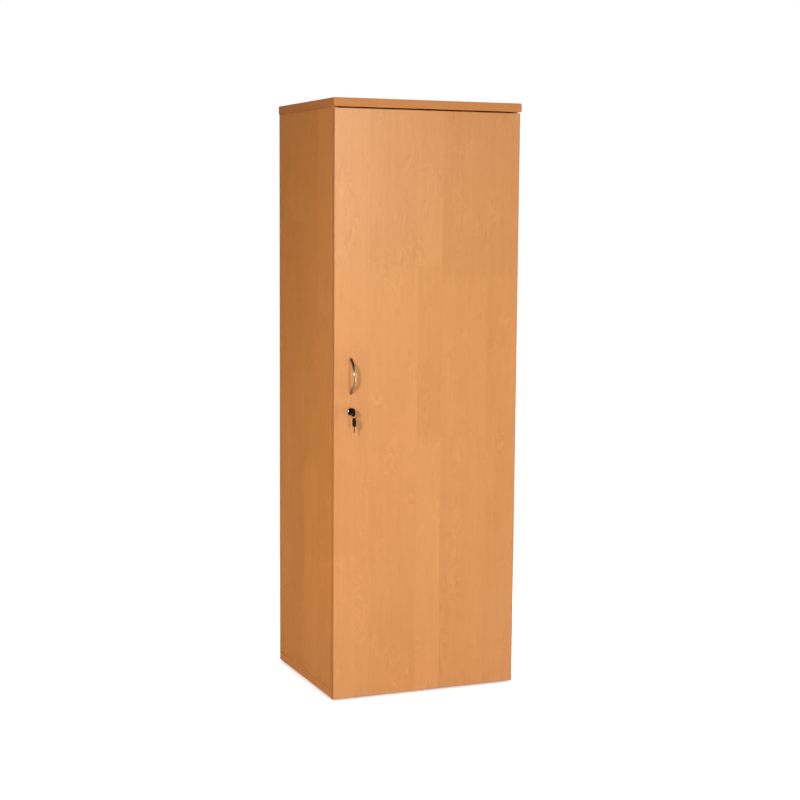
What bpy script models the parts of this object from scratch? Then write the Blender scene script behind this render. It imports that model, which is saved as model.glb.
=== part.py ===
"""Single-door office wardrobe.

A laminated board carcass with a hat shelf and hanging rail, closed by one full-overlay door on concealed
hinges, with a bow handle, a cam lock and two keys on a ring.  Metres, +Z up, the front faces -Y, and the
origin lies on the floor under the middle of the overall box.
"""

import math

import bmesh
import bpy
from mathutils import Vector

# Overall size, over the top panel
WIDTH = 0.600
DEPTH = 0.500
HEIGHT = 1.780

# Boards
TOP_THICKNESS = 0.025
BASE_THICKNESS = 0.025
SIDE_THICKNESS = 0.018
SHELF_THICKNESS = 0.018
DOOR_THICKNESS = 0.018
BACK_THICKNESS = 0.008
TOP_OVERHANG = 0.002
EDGE_ROUNDING = 0.001

# Clearances
FIT = 0.0003
DOOR_GAP = 0.003
DOOR_TOP_GAP = 0.004
DOOR_FLOOR_GAP = 0.005
LOCK_SIDE_REVEAL = 0.0015
HINGE_SIDE_REVEAL = 0.004

# Back panel and its grooves
BACK_INSET = 0.012
GROOVE_DEPTH = 0.007

# Dowels between the sides and the top and base
DOWEL_RADIUS = 0.004
DOWEL_IN_SIDE = 0.023
DOWEL_IN_BOARD = 0.012
DOWEL_FROM_FRONT = 0.060
DOWEL_FROM_BACK = 0.090

# Hat shelf on pins
SHELF_TOP_DROP = 0.290
SHELF_FRONT_SETBACK = 0.012
SHELF_PIN_INSET = 0.050
PIN_PEG_RADIUS = 0.0025
PIN_PEG_LENGTH = 0.009
PIN_COLLAR_RADIUS = 0.0035
PIN_COLLAR_LENGTH = 0.010

# Hanging rail and its end sockets
RAIL_RADIUS = 0.0125
RAIL_WALL = 0.0012
RAIL_DROP = 0.060
SOCKET_FLANGE_RADIUS = 0.021
SOCKET_FLANGE_THICKNESS = 0.003
SOCKET_COLLAR_WALL = 0.002
SOCKET_COLLAR_LENGTH = 0.014

# Glides under the base
GLIDE_RADIUS = 0.014
GLIDE_HEIGHT = 0.005
GLIDE_INSET = 0.045
GLIDE_NAIL_RADIUS = 0.0015
GLIDE_NAIL_LENGTH = 0.015

# Concealed hinges: the pivot is measured from the door's hinge edge and from its back face
HINGE_COUNT = 4
HINGE_END_INSET = 0.100
PIVOT_FROM_EDGE = 0.008
PIVOT_FROM_BACK = 0.0095
CUP_RADIUS = 0.0175
CUP_EDGE_DISTANCE = 0.003
CUP_DEPTH = 0.0135
CUP_WALL = 0.0012
CUP_FLOOR = 0.001
CUP_RIM = 0.0012
CUP_WING_HEIGHT = 0.062
CUP_WING_WIDTH = 0.014
CUP_WING_OFFSET = 0.006
HINGE_PIN_RADIUS = 0.00125
HINGE_PIN_LENGTH = 0.0214
ARM_EYE_WALL = 0.001
ARM_THICKNESS = 0.002
ARM_HEIGHT = 0.009
ARM_REACH = 0.0145
ARM_LENGTH = 0.075
ARM_BEND_ROUNDING = 0.003
PLATE_SETBACK = 0.022
PLATE_LENGTH = 0.048
PLATE_HEIGHT = 0.014
PLATE_WING_LENGTH = 0.018
PLATE_WING_HEIGHT = 0.052
PLATE_WING_STEP = 0.002

# Bow handle
HANDLE_FROM_EDGE = 0.0545
HANDLE_CENTRE_HEIGHT = 0.975
HANDLE_HOLE_SPACING = 0.096
HANDLE_PROJECTION = 0.032
HANDLE_RADIUS = 0.0045
HANDLE_FOOT_RADIUS = 0.0057
HANDLE_FOOT_OFFSET = 0.001
HANDLE_POINTS = 25
HANDLE_SCREW_RADIUS = 0.002
HANDLE_SCREW_BITE = 0.003
SCREW_HEAD_RADIUS = 0.004
SCREW_HEAD_HEIGHT = 0.0022

# Cam lock
LOCK_FROM_EDGE = 0.0545
LOCK_DROP = 0.057
BEZEL_RADIUS = 0.0115
BEZEL_THICKNESS = 0.004
BEZEL_ROUNDING = 0.0015
BARREL_RADIUS = 0.009
BARREL_TAIL = 0.007
NUT_RADIUS = 0.013
NUT_THICKNESS = 0.004
NUT_SIDES = 6
PLUG_RADIUS = 0.006
PLUG_TAIL_SIDE = 0.006
CAM_THICKNESS = 0.002
CAM_LENGTH = 0.030
CAM_WIDTH = 0.014
CAM_SCREW_RADIUS = 0.0015
CAM_SCREW_HEAD_RADIUS = 0.0045
CAM_SCREW_HEAD_HEIGHT = 0.002
CAM_SCREW_BITE = 0.005

# Strike plate, an angle on the lock side's inner face
STRIKE_THICKNESS = 0.002
STRIKE_LEG = 0.018
STRIKE_LENGTH = 0.024
STRIKE_HEIGHT = 0.036
STRIKE_CAM_GAP = 0.0008
STRIKE_SCREW_RADIUS = 0.0015
STRIKE_SCREW_LENGTH = 0.012
STRIKE_SCREW_HEAD_RADIUS = 0.003
STRIKE_SCREW_HEAD_HEIGHT = 0.0012
STRIKE_SCREW_SPACING = 0.020
STRIKE_SCREW_SETBACK = 0.016

# Keys and ring
KEY_HEAD_LENGTH = 0.027
KEY_HEAD_WIDTH = 0.025
KEY_HEAD_THICKNESS = 0.0036
KEY_HOLE_RADIUS = 0.0025
KEY_HOLE_EDGE = 0.0055
KEY_STANDOFF = 0.0015
KEY_BLADE_LENGTH = 0.0195
KEY_BLADE_WIDTH = 0.0065
KEY_BLADE_THICKNESS = 0.0018
KEY_TANG_LENGTH = 0.006
KEY_NOTCHES = (0.0008, 0.0016, 0.0005, 0.0013)
KEY_FIRST_NOTCH = 1.25
RING_MEAN_RADIUS = 0.0085
RING_WIRE_RADIUS = 0.0008

# Door bumpers
BUMPER_RADIUS = 0.005
BUMPER_END_INSET = 0.060

# Facets on round pieces, and how meshes are joined and shaded
ROUND_STEPS = 32
SMALL_STEPS = 16
CAM_END_STEPS = 8
BEND_STEPS = 4
BOW_BEVEL_STEPS = 4
RING_BEVEL_STEPS = 1
WELD_DISTANCE = 0.00001
SMOOTH_ANGLE = 35.0
PIVOT_DISPLAY = 0.03

# Places that follow from the sizes above
key_hole_out = BEZEL_THICKNESS + KEY_STANDOFF + KEY_HEAD_LENGTH - KEY_HOLE_EDGE
front_reach = key_hole_out + KEY_HEAD_WIDTH / 2 - TOP_OVERHANG
top_front = -(DEPTH - front_reach) / 2
carcass_back = top_front + DEPTH
door_face = top_front + TOP_OVERHANG
door_back = door_face + DOOR_THICKNESS
carcass_front = door_back + DOOR_GAP

carcass_half = WIDTH / 2 - TOP_OVERHANG
side_inner = carcass_half - SIDE_THICKNESS
door_left = -WIDTH / 2 + LOCK_SIDE_REVEAL
door_right = WIDTH / 2 - HINGE_SIDE_REVEAL

base_low = GLIDE_HEIGHT
base_high = base_low + BASE_THICKNESS
top_low = HEIGHT - TOP_THICKNESS
side_low = base_high + FIT
side_high = top_low - FIT
door_low = DOOR_FLOOR_GAP
door_high = top_low - DOOR_TOP_GAP

back_rear = carcass_back - BACK_INSET
back_front = back_rear - BACK_THICKNESS
shelf_high = top_low - SHELF_TOP_DROP
shelf_low = shelf_high - SHELF_THICKNESS
rail_height = shelf_low - RAIL_DROP
rail_depth = (carcass_front + back_front) / 2

pivot_x = door_right - PIVOT_FROM_EDGE
pivot_y = door_back - PIVOT_FROM_BACK
cup_x = door_right - CUP_EDGE_DISTANCE - CUP_RADIUS
lock_x = door_left + LOCK_FROM_EDGE
lock_height = HANDLE_CENTRE_HEIGHT - HANDLE_HOLE_SPACING / 2 - LOCK_DROP
handle_x = door_left + HANDLE_FROM_EDGE
barrel_end = door_back + BARREL_TAIL
cam_front = barrel_end + FIT
cam_rear = cam_front + CAM_THICKNESS
ring_y = door_face - key_hole_out
ring_top = lock_height - KEY_HOLE_RADIUS + RING_WIRE_RADIUS + FIT
ring_bottom = ring_top - 2 * RING_MEAN_RADIUS
spare_hole_height = ring_bottom - KEY_HOLE_RADIUS + RING_WIRE_RADIUS + FIT

for old in list(bpy.data.objects):
    bpy.data.objects.remove(old, do_unlink=True)

parts = bpy.data.collections.new("Wardrobe")
helpers = bpy.data.collections.new("Cutters")
bpy.context.scene.collection.children.link(parts)
bpy.context.scene.collection.children.link(helpers)


def linear(red, green, blue):
    """A colour given in display values of 0 to 255, as linear RGBA."""
    shares = [value / 255 for value in (red, green, blue)]
    return [s / 12.92 if s <= 0.04045 else ((s + 0.055) / 1.055) ** 2.4 for s in shares] + [1.0]


def finish(name, colour, roughness, metallic=0.0):
    material = bpy.data.materials.new(name)
    material.use_nodes = True
    shader = material.node_tree.nodes["Principled BSDF"]
    shader.inputs["Base Color"].default_value = linear(*colour)
    shader.inputs["Roughness"].default_value = roughness
    shader.inputs["Metallic"].default_value = metallic
    material.diffuse_color = linear(*colour)
    return material


LAMINATE = finish("beech_laminate", (222, 158, 101), 0.45)
HARDBOARD = finish("back_board", (214, 160, 110), 0.6)
DOWEL_WOOD = finish("dowel_wood", (205, 170, 125), 0.7)
STEEL = finish("zinc_steel", (185, 186, 188), 0.35, 1.0)
CHROME = finish("chrome", (215, 214, 212), 0.12, 1.0)
SATIN = finish("satin_nickel", (190, 180, 168), 0.28, 1.0)
DARK_METAL = finish("lock_nickel", (120, 116, 110), 0.25, 1.0)
BLACK_PLASTIC = finish("black_plastic", (18, 17, 17), 0.4)
PALE_PLASTIC = finish("pale_plastic", (225, 222, 214), 0.5)


def world_place(holder):
    """Where an unturned object's origin lies, summed up its parents."""
    place = Vector((0.0, 0.0, 0.0))
    while holder is not None:
        place += holder.location
        holder = holder.parent
    return place


def pivot(name, place, parent=None):
    """An empty on a joint's axis, which carries the pieces that turn or slide there."""
    empty = bpy.data.objects.new(name, None)
    empty.empty_display_size = PIVOT_DISPLAY
    empty.parent = parent
    empty.location = Vector(place) - world_place(parent)
    parts.objects.link(empty)
    return empty


def add_object(name, mesh, material, place, parent=None, turn=(0.0, 0.0, 0.0)):
    obj = bpy.data.objects.new(name, mesh)
    parts.objects.link(obj)
    mesh.materials.append(material)
    obj.parent = parent
    obj.location = Vector(place) - world_place(parent)
    obj.rotation_euler = turn
    return obj


def as_helper(obj):
    """Keeps an object that only cuts or joins out of the model."""
    parts.objects.unlink(obj)
    helpers.objects.link(obj)
    obj.hide_render = True
    obj.display_type = "WIRE"
    return obj


def boolean(obj, helper, operation):
    modifier = obj.modifiers.new(helper.name, "BOOLEAN")
    modifier.operation = operation
    modifier.object = as_helper(helper)


def cut(obj, helper):
    boolean(obj, helper, "DIFFERENCE")


def join(obj, helper):
    boolean(obj, helper, "UNION")


def round_edges(obj, width, segments=2):
    modifier = obj.modifiers.new("edge rounding", "BEVEL")
    modifier.width = width
    modifier.segments = segments
    modifier.limit_method = "ANGLE"


def smooth(mesh):
    mesh.shade_smooth()
    mesh.set_sharp_from_angle(angle=math.radians(SMOOTH_ANGLE))


def box(name, low, high, material, parent=None):
    low, high = Vector(low), Vector(high)
    shape = bmesh.new()
    bmesh.ops.create_cube(shape, size=1.0)
    bmesh.ops.scale(shape, vec=high - low, verts=shape.verts)
    mesh = bpy.data.meshes.new(name)
    shape.to_mesh(mesh)
    shape.free()
    return add_object(name, mesh, material, (low + high) / 2, parent)


AXIS_TURN = {"X": (0.0, math.pi / 2, 0.0), "Y": (math.pi / 2, 0.0, 0.0), "Z": (0.0, 0.0, 0.0)}


def rod(name, axis, radius, start, end, across, material, parent=None, steps=SMALL_STEPS):
    """A round bar from start to end along X, Y or Z; across holds its other two coordinates in order."""
    shape = bmesh.new()
    bmesh.ops.create_cone(shape, cap_ends=True, segments=steps, radius1=radius, radius2=radius,
                          depth=abs(end - start))
    mesh = bpy.data.meshes.new(name)
    shape.to_mesh(mesh)
    shape.free()
    smooth(mesh)
    place = list(across)
    place.insert("XYZ".index(axis), (start + end) / 2)
    return add_object(name, mesh, material, place, parent, AXIS_TURN[axis])


def turned(name, profile, place, material, parent=None, turn=(0.0, 0.0, 0.0), closed=False,
           steps=ROUND_STEPS):
    """A profile of (radius, height) points spun about local Z; it runs down its outer side."""
    mesh = bpy.data.meshes.new(name)
    edges = [(i, i + 1) for i in range(len(profile) - 1)]
    if closed:
        edges.append((len(profile) - 1, 0))
    mesh.from_pydata([(radius, 0.0, height) for radius, height in profile], edges, [])
    obj = add_object(name, mesh, material, place, parent, turn)
    screw = obj.modifiers.new("spin", "SCREW")
    screw.steps = screw.render_steps = steps
    screw.use_merge_vertices = True
    screw.merge_threshold = WELD_DISTANCE
    screw.use_smooth_shade = True
    return obj


def mesh_of_curve(name, curve, material, place, parent=None, turn=(0.0, 0.0, 0.0)):
    """A closed mesh object from a curve, with its caps welded on."""
    guide = bpy.data.objects.new(name + "_curve", curve)
    bpy.context.scene.collection.objects.link(guide)
    bpy.context.view_layer.update()
    graph = bpy.context.evaluated_depsgraph_get()
    mesh = bpy.data.meshes.new_from_object(guide.evaluated_get(graph))
    bpy.data.objects.remove(guide, do_unlink=True)
    mesh.name = name
    shape = bmesh.new()
    shape.from_mesh(mesh)
    bmesh.ops.remove_doubles(shape, verts=shape.verts, dist=WELD_DISTANCE)
    bmesh.ops.recalc_face_normals(shape, faces=shape.faces)
    shape.to_mesh(mesh)
    shape.free()
    smooth(mesh)
    return add_object(name, mesh, material, place, parent, turn)


def flat_piece(name, outlines, thickness, place, material, parent=None, turn=(0.0, 0.0, 0.0)):
    """A flat outline in local XY, with any holes as further outlines, given its thickness along local Z."""
    curve = bpy.data.curves.new(name, "CURVE")
    curve.dimensions = "2D"
    curve.fill_mode = "BOTH"
    curve.extrude = thickness / 2
    for outline in outlines:
        spline = curve.splines.new("POLY")
        spline.points.add(len(outline) - 1)
        for point, (x, y) in zip(spline.points, outline):
            point.co = (x, y, 0.0, 1.0)
        spline.use_cyclic_u = True
    return mesh_of_curve(name, curve, material, place, parent, turn)


def arc(centre, radii, start, end, steps):
    """Points on an ellipse's arc, with angles in degrees."""
    angles = [math.radians(start + (end - start) * i / steps) for i in range(steps + 1)]
    return [(centre[0] + radii[0] * math.cos(a), centre[1] + radii[1] * math.sin(a)) for a in angles]


def ring_outline(centre, radii, steps):
    return arc(centre, radii, 0.0, 360.0, steps)[:-1]


# Carcass: two sides between a top and a base, with the back panel in grooves
top_panel = box("top_panel", (-WIDTH / 2, top_front, top_low), (WIDTH / 2, carcass_back, HEIGHT), LAMINATE)
base_panel = box("base_panel", (-carcass_half, carcass_front, base_low),
                 (carcass_half, carcass_back, base_high), LAMINATE)
side_panels = {}
for side_name, sign in (("left", -1), ("right", 1)):
    faces = sorted((sign * side_inner, sign * carcass_half))
    side_panels[side_name] = box(f"{side_name}_side", (faces[0], carcass_front, side_low),
                                 (faces[1], carcass_back, side_high), LAMINATE)
for panel in (top_panel, base_panel, *side_panels.values()):
    round_edges(panel, EDGE_ROUNDING)

back_half = side_inner + GROOVE_DEPTH - FIT
back_low = base_high - GROOVE_DEPTH + FIT
back_high = top_low + GROOVE_DEPTH - FIT
back_panel = box("back_panel", (-back_half, back_front, back_low), (back_half, back_rear, back_high),
                 HARDBOARD)
groove_half = side_inner + GROOVE_DEPTH
for panel in (top_panel, base_panel, *side_panels.values()):
    cut(panel, box(f"{panel.name}_groove", (-groove_half, back_front - FIT, base_high - GROOVE_DEPTH),
                   (groove_half, back_rear + FIT, top_low + GROOVE_DEPTH), HARDBOARD))

dowel_x = (side_inner + carcass_half) / 2
dowel_joints = (("upper", top_panel, side_high, 1), ("lower", base_panel, side_low, -1))
dowel_depths = (("front", carcass_front + DOWEL_FROM_FRONT), ("back", carcass_back - DOWEL_FROM_BACK))
for level, board, joint_height, upward in dowel_joints:
    for side_name, sign in (("left", -1), ("right", 1)):
        for depth_name, depth in dowel_depths:
            name = f"dowel_{level}_{side_name}_{depth_name}"
            spot = (sign * dowel_x, depth)
            inner_end = joint_height - upward * DOWEL_IN_SIDE
            outer_end = joint_height + upward * DOWEL_IN_BOARD
            rod(name, "Z", DOWEL_RADIUS, inner_end, outer_end, spot, DOWEL_WOOD)
            for drilled in (board, side_panels[side_name]):
                cut(drilled, rod(f"{name}_hole_{drilled.name}", "Z", DOWEL_RADIUS + FIT,
                                 inner_end - upward * FIT, outer_end + upward * FIT, spot, DOWEL_WOOD))

# Hat shelf on four pins
shelf_front = carcass_front + SHELF_FRONT_SETBACK
shelf_rear = back_front - FIT
hat_shelf = box("hat_shelf", (-side_inner + FIT, shelf_front, shelf_low),
                (side_inner - FIT, shelf_rear, shelf_high), LAMINATE)
round_edges(hat_shelf, EDGE_ROUNDING)
pin_height = shelf_low - FIT - PIN_COLLAR_RADIUS
for side_name, sign in (("left", -1), ("right", 1)):
    for depth_name, depth in (("front", shelf_front + SHELF_PIN_INSET),
                              ("back", shelf_rear - SHELF_PIN_INSET)):
        pin_name = f"shelf_pin_{side_name}_{depth_name}"
        spot = (depth, pin_height)
        collar_face = sign * (side_inner - FIT)
        peg_end = collar_face + sign * PIN_PEG_LENGTH
        shelf_pin = rod(pin_name, "X", PIN_COLLAR_RADIUS, collar_face - sign * PIN_COLLAR_LENGTH,
                        collar_face, spot, STEEL)
        join(shelf_pin, rod(f"{pin_name}_peg", "X", PIN_PEG_RADIUS,
                            collar_face - sign * PIN_COLLAR_LENGTH / 2, peg_end, spot, STEEL))
        cut(side_panels[side_name], rod(f"{pin_name}_hole", "X", PIN_PEG_RADIUS + FIT,
                                        sign * (side_inner - FIT), peg_end + sign * FIT, spot, STEEL))

# Hanging rail in two end sockets; a socket's flange lies on the side, its collar points inwards
rail_end = side_inner - FIT - SOCKET_FLANGE_THICKNESS - FIT
rail_profile = [(RAIL_RADIUS - RAIL_WALL, rail_end), (RAIL_RADIUS, rail_end), (RAIL_RADIUS, -rail_end),
                (RAIL_RADIUS - RAIL_WALL, -rail_end)]
turned("hanging_rail", rail_profile, (0.0, rail_depth, rail_height), CHROME, turn=AXIS_TURN["X"],
       closed=True)
collar_inner = RAIL_RADIUS + FIT
collar_outer = collar_inner + SOCKET_COLLAR_WALL
collar_top = SOCKET_FLANGE_THICKNESS + SOCKET_COLLAR_LENGTH
socket_profile = [(0.0, SOCKET_FLANGE_THICKNESS), (collar_inner, SOCKET_FLANGE_THICKNESS),
                  (collar_inner, collar_top), (collar_outer, collar_top),
                  (collar_outer, SOCKET_FLANGE_THICKNESS),
                  (SOCKET_FLANGE_RADIUS, SOCKET_FLANGE_THICKNESS / 2), (SOCKET_FLANGE_RADIUS, 0.0),
                  (0.0, 0.0)]
for side_name, sign in (("left", -1), ("right", 1)):
    turned(f"rail_socket_{side_name}", socket_profile,
           (sign * (side_inner - FIT), rail_depth, rail_height), CHROME,
           turn=(0.0, -sign * math.pi / 2, 0.0))

# Glides nailed under the base
glide_profile = [(0.0, GLIDE_NAIL_LENGTH), (GLIDE_NAIL_RADIUS, GLIDE_NAIL_LENGTH),
                 (GLIDE_NAIL_RADIUS, -FIT), (GLIDE_RADIUS, -FIT), (GLIDE_RADIUS, -GLIDE_HEIGHT / 2),
                 (GLIDE_RADIUS - GLIDE_HEIGHT / 2, -GLIDE_HEIGHT), (0.0, -GLIDE_HEIGHT)]
for side_name, sign in (("left", -1), ("right", 1)):
    for depth_name, depth in (("front", carcass_front + GLIDE_INSET), ("back", carcass_back - GLIDE_INSET)):
        spot = (sign * (carcass_half - GLIDE_INSET), depth)
        turned(f"glide_{depth_name}_{side_name}", glide_profile, (*spot, base_low), PALE_PLASTIC)
        cut(base_panel, rod(f"glide_{depth_name}_{side_name}_hole", "Z", GLIDE_NAIL_RADIUS + FIT,
                            base_low - FIT, base_low + GLIDE_NAIL_LENGTH + FIT, spot, PALE_PLASTIC))

# Door, turning about the hinges' common pivot line
door_pivot = pivot("door_pivot", (pivot_x, pivot_y, (door_low + door_high) / 2))
door_panel = box("door_panel", (door_left, door_face, door_low), (door_right, door_back, door_high),
                 LAMINATE, door_pivot)
round_edges(door_panel, EDGE_ROUNDING)

bumper_x = -(side_inner + carcass_half) / 2
bumper_front = door_back + FIT
bumper_rear = carcass_front - FIT
bumper_spots = (("upper", door_high - BUMPER_END_INSET), ("lower", door_low + BUMPER_END_INSET))
for level, height in bumper_spots:
    rod(f"door_bumper_{level}", "Y", BUMPER_RADIUS, bumper_front, bumper_rear, (bumper_x, height),
        PALE_PLASTIC, door_pivot)

# Concealed hinges: cup and pin on the door, arm and mounting plate on the hinge side
eye_radius = HINGE_PIN_RADIUS + FIT + ARM_EYE_WALL
arm_outer = ARM_REACH + ARM_THICKNESS / 2
arm_inner = ARM_REACH - ARM_THICKNESS / 2
arm_outline = [(0.0, ARM_THICKNESS / 2), (-arm_inner, ARM_THICKNESS / 2), (-arm_inner, ARM_LENGTH),
               (-arm_outer, ARM_LENGTH)]
arm_outline += arc((-arm_outer + ARM_BEND_ROUNDING, -ARM_THICKNESS / 2 + ARM_BEND_ROUNDING),
                   (ARM_BEND_ROUNDING, ARM_BEND_ROUNDING), 180.0, 270.0, BEND_STEPS)
arm_outline += [(0.0, -ARM_THICKNESS / 2)]
plate_outer = side_inner - FIT
plate_inner = pivot_x - arm_inner + FIT
plate_front = carcass_front + PLATE_SETBACK
plate_rear = plate_front + PLATE_LENGTH
plate_middle = (plate_front + plate_rear) / 2
wing_x = cup_x - CUP_WING_OFFSET
rim_low = door_back + FIT
rim_high = rim_low + CUP_RIM
hinge_span = door_high - door_low - 2 * HINGE_END_INSET

for index in range(HINGE_COUNT):
    number = index + 1
    height = door_low + HINGE_END_INSET + hinge_span * index / (HINGE_COUNT - 1)
    cup_spot = (cup_x, height)
    pin_spot = (pivot_x, pivot_y)

    cup = rod(f"hinge_cup_{number}", "Y", CUP_RADIUS, door_back - CUP_DEPTH, rim_high, cup_spot, STEEL,
              door_pivot, ROUND_STEPS)
    join(cup, box(f"hinge_cup_{number}_wings",
                  (wing_x - CUP_WING_WIDTH / 2, rim_low, height - CUP_WING_HEIGHT / 2),
                  (wing_x + CUP_WING_WIDTH / 2, rim_high, height + CUP_WING_HEIGHT / 2), STEEL, door_pivot))
    cut(cup, rod(f"hinge_cup_{number}_well", "Y", CUP_RADIUS - CUP_WALL, door_back - CUP_DEPTH + CUP_FLOOR,
                 rim_high + CUP_RIM, cup_spot, STEEL, door_pivot, ROUND_STEPS))
    cut(cup, rod(f"hinge_pin_{number}_hole", "Z", HINGE_PIN_RADIUS + FIT,
                 height - HINGE_PIN_LENGTH / 2 - FIT, height + HINGE_PIN_LENGTH / 2 + FIT, pin_spot,
                 STEEL, door_pivot))
    cut(door_panel, rod(f"hinge_cup_{number}_bore", "Y", CUP_RADIUS + FIT, door_back - CUP_DEPTH - FIT,
                        door_back + FIT, cup_spot, STEEL, door_pivot, ROUND_STEPS))
    rod(f"hinge_pin_{number}", "Z", HINGE_PIN_RADIUS, height - HINGE_PIN_LENGTH / 2,
        height + HINGE_PIN_LENGTH / 2, pin_spot, STEEL, door_pivot)

    arm = flat_piece(f"hinge_arm_{number}", [arm_outline], ARM_HEIGHT, (*pin_spot, height), STEEL)
    join(arm, rod(f"hinge_arm_{number}_eye", "Z", eye_radius, height - ARM_HEIGHT / 2,
                  height + ARM_HEIGHT / 2, pin_spot, STEEL))
    cut(arm, rod(f"hinge_arm_{number}_bore", "Z", HINGE_PIN_RADIUS + FIT, height - ARM_HEIGHT,
                 height + ARM_HEIGHT, pin_spot, STEEL))
    plate = box(f"hinge_plate_{number}", (plate_inner, plate_front, height - PLATE_HEIGHT / 2),
                (plate_outer, plate_rear, height + PLATE_HEIGHT / 2), STEEL)
    wing_low = (plate_inner + PLATE_WING_STEP, plate_middle - PLATE_WING_LENGTH / 2,
                height - PLATE_WING_HEIGHT / 2)
    wing_high = (plate_outer, plate_middle + PLATE_WING_LENGTH / 2, height + PLATE_WING_HEIGHT / 2)
    join(plate, box(f"hinge_plate_{number}_wing", wing_low, wing_high, STEEL))

# Bow handle: a round bar along a circular arc, thicker at its feet, screwed on from behind the door
sagitta = HANDLE_PROJECTION - HANDLE_RADIUS
half_chord = HANDLE_HOLE_SPACING / 2 + HANDLE_FOOT_OFFSET
bow_radius = (half_chord ** 2 + sagitta ** 2) / (2 * sagitta)
foot_angle = math.asin(half_chord / bow_radius)
overrun = 2 * HANDLE_FOOT_RADIUS / bow_radius
bow = bpy.data.curves.new("bow_handle", "CURVE")
bow.dimensions = "3D"
bow.bevel_depth = HANDLE_RADIUS
bow.bevel_resolution = BOW_BEVEL_STEPS
bow.use_fill_caps = True
bow_line = bow.splines.new("POLY")
bow_line.points.add(HANDLE_POINTS - 1)
for index, point in enumerate(bow_line.points):
    share = 2 * index / (HANDLE_POINTS - 1) - 1
    angle = share * (foot_angle + overrun)
    out = sagitta - bow_radius * (1 - math.cos(angle))
    point.co = (0.0, -out, bow_radius * math.sin(angle), 1.0)
    point.radius = 1 + (HANDLE_FOOT_RADIUS / HANDLE_RADIUS - 1) * abs(share) ** 4
bow_handle = mesh_of_curve("bow_handle", bow, SATIN, (handle_x, door_face, HANDLE_CENTRE_HEIGHT),
                           door_pivot)
cut(bow_handle, box("bow_handle_seat", (handle_x - HANDLE_PROJECTION, door_face - FIT, door_low),
                    (handle_x + HANDLE_PROJECTION, door_back, door_high), SATIN, door_pivot))
for level, sign in (("upper", 1), ("lower", -1)):
    name = f"handle_screw_{level}"
    spot = (handle_x, HANDLE_CENTRE_HEIGHT + sign * HANDLE_HOLE_SPACING / 2)
    tip = door_face - FIT - HANDLE_SCREW_BITE
    head_front = door_back + FIT
    screw = rod(name, "Y", SCREW_HEAD_RADIUS, head_front, head_front + SCREW_HEAD_HEIGHT, spot, STEEL,
                door_pivot)
    join(screw, rod(f"{name}_shank", "Y", HANDLE_SCREW_RADIUS, tip, head_front + SCREW_HEAD_HEIGHT / 2,
                    spot, STEEL, door_pivot))
    for drilled in (door_panel, bow_handle):
        cut(drilled, rod(f"{name}_hole_{drilled.name}", "Y", HANDLE_SCREW_RADIUS + FIT, tip - FIT,
                         head_front, spot, STEEL, door_pivot))

# Cam lock: housing and nut on the door, plug, cam and screw turning in it; local +Z points out of the door
lock_spot = (lock_x, lock_height)
out_turn = AXIS_TURN["Y"]
bore_radius = PLUG_RADIUS + FIT
housing_profile = [(bore_radius, BEZEL_THICKNESS), (BEZEL_RADIUS - BEZEL_ROUNDING, BEZEL_THICKNESS),
                   (BEZEL_RADIUS, BEZEL_THICKNESS - BEZEL_ROUNDING), (BEZEL_RADIUS, FIT),
                   (BARREL_RADIUS, FIT), (BARREL_RADIUS, door_face - barrel_end),
                   (bore_radius, door_face - barrel_end)]
turned("lock_housing", housing_profile, (lock_x, door_face, lock_height), DARK_METAL, door_pivot, out_turn,
       closed=True)
cut(door_panel, rod("lock_housing_bore", "Y", BARREL_RADIUS + FIT, door_face - FIT, door_back + FIT,
                    lock_spot, DARK_METAL, door_pivot, ROUND_STEPS))
nut_front = door_back + FIT
lock_nut = rod("lock_nut", "Y", NUT_RADIUS, nut_front, nut_front + NUT_THICKNESS, lock_spot, STEEL,
               door_pivot, NUT_SIDES)
cut(lock_nut, rod("lock_nut_bore", "Y", BARREL_RADIUS + FIT, door_back, nut_front + 2 * NUT_THICKNESS,
                  lock_spot, STEEL, door_pivot, ROUND_STEPS))

lock_pivot = pivot("lock_pivot", (lock_x, door_face, lock_height), door_pivot)
plug_front = door_face - BEZEL_THICKNESS
lock_plug = rod("lock_plug", "Y", PLUG_RADIUS, plug_front, barrel_end, lock_spot, DARK_METAL, lock_pivot,
                ROUND_STEPS)
tail_half = PLUG_TAIL_SIDE / 2
join(lock_plug, box("lock_plug_tail", (lock_x - tail_half, barrel_end - CAM_THICKNESS,
                                       lock_height - tail_half),
                    (lock_x + tail_half, cam_rear, lock_height + tail_half), DARK_METAL, lock_pivot))
keyway_x = KEY_BLADE_THICKNESS / 2 + FIT
keyway_z = KEY_BLADE_WIDTH / 2 + FIT
keyway_end = plug_front - KEY_STANDOFF + KEY_BLADE_LENGTH + FIT
cut(lock_plug, box("lock_plug_keyway", (lock_x - keyway_x, plug_front - KEY_STANDOFF,
                                        lock_height - keyway_z),
                   (lock_x + keyway_x, keyway_end, lock_height + keyway_z), DARK_METAL, lock_pivot))
screw_tip = cam_rear + FIT - CAM_SCREW_BITE
cut(lock_plug, rod("lock_plug_thread", "Y", CAM_SCREW_RADIUS + FIT, screw_tip - FIT, cam_rear + FIT,
                   lock_spot, DARK_METAL, lock_pivot))

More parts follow.
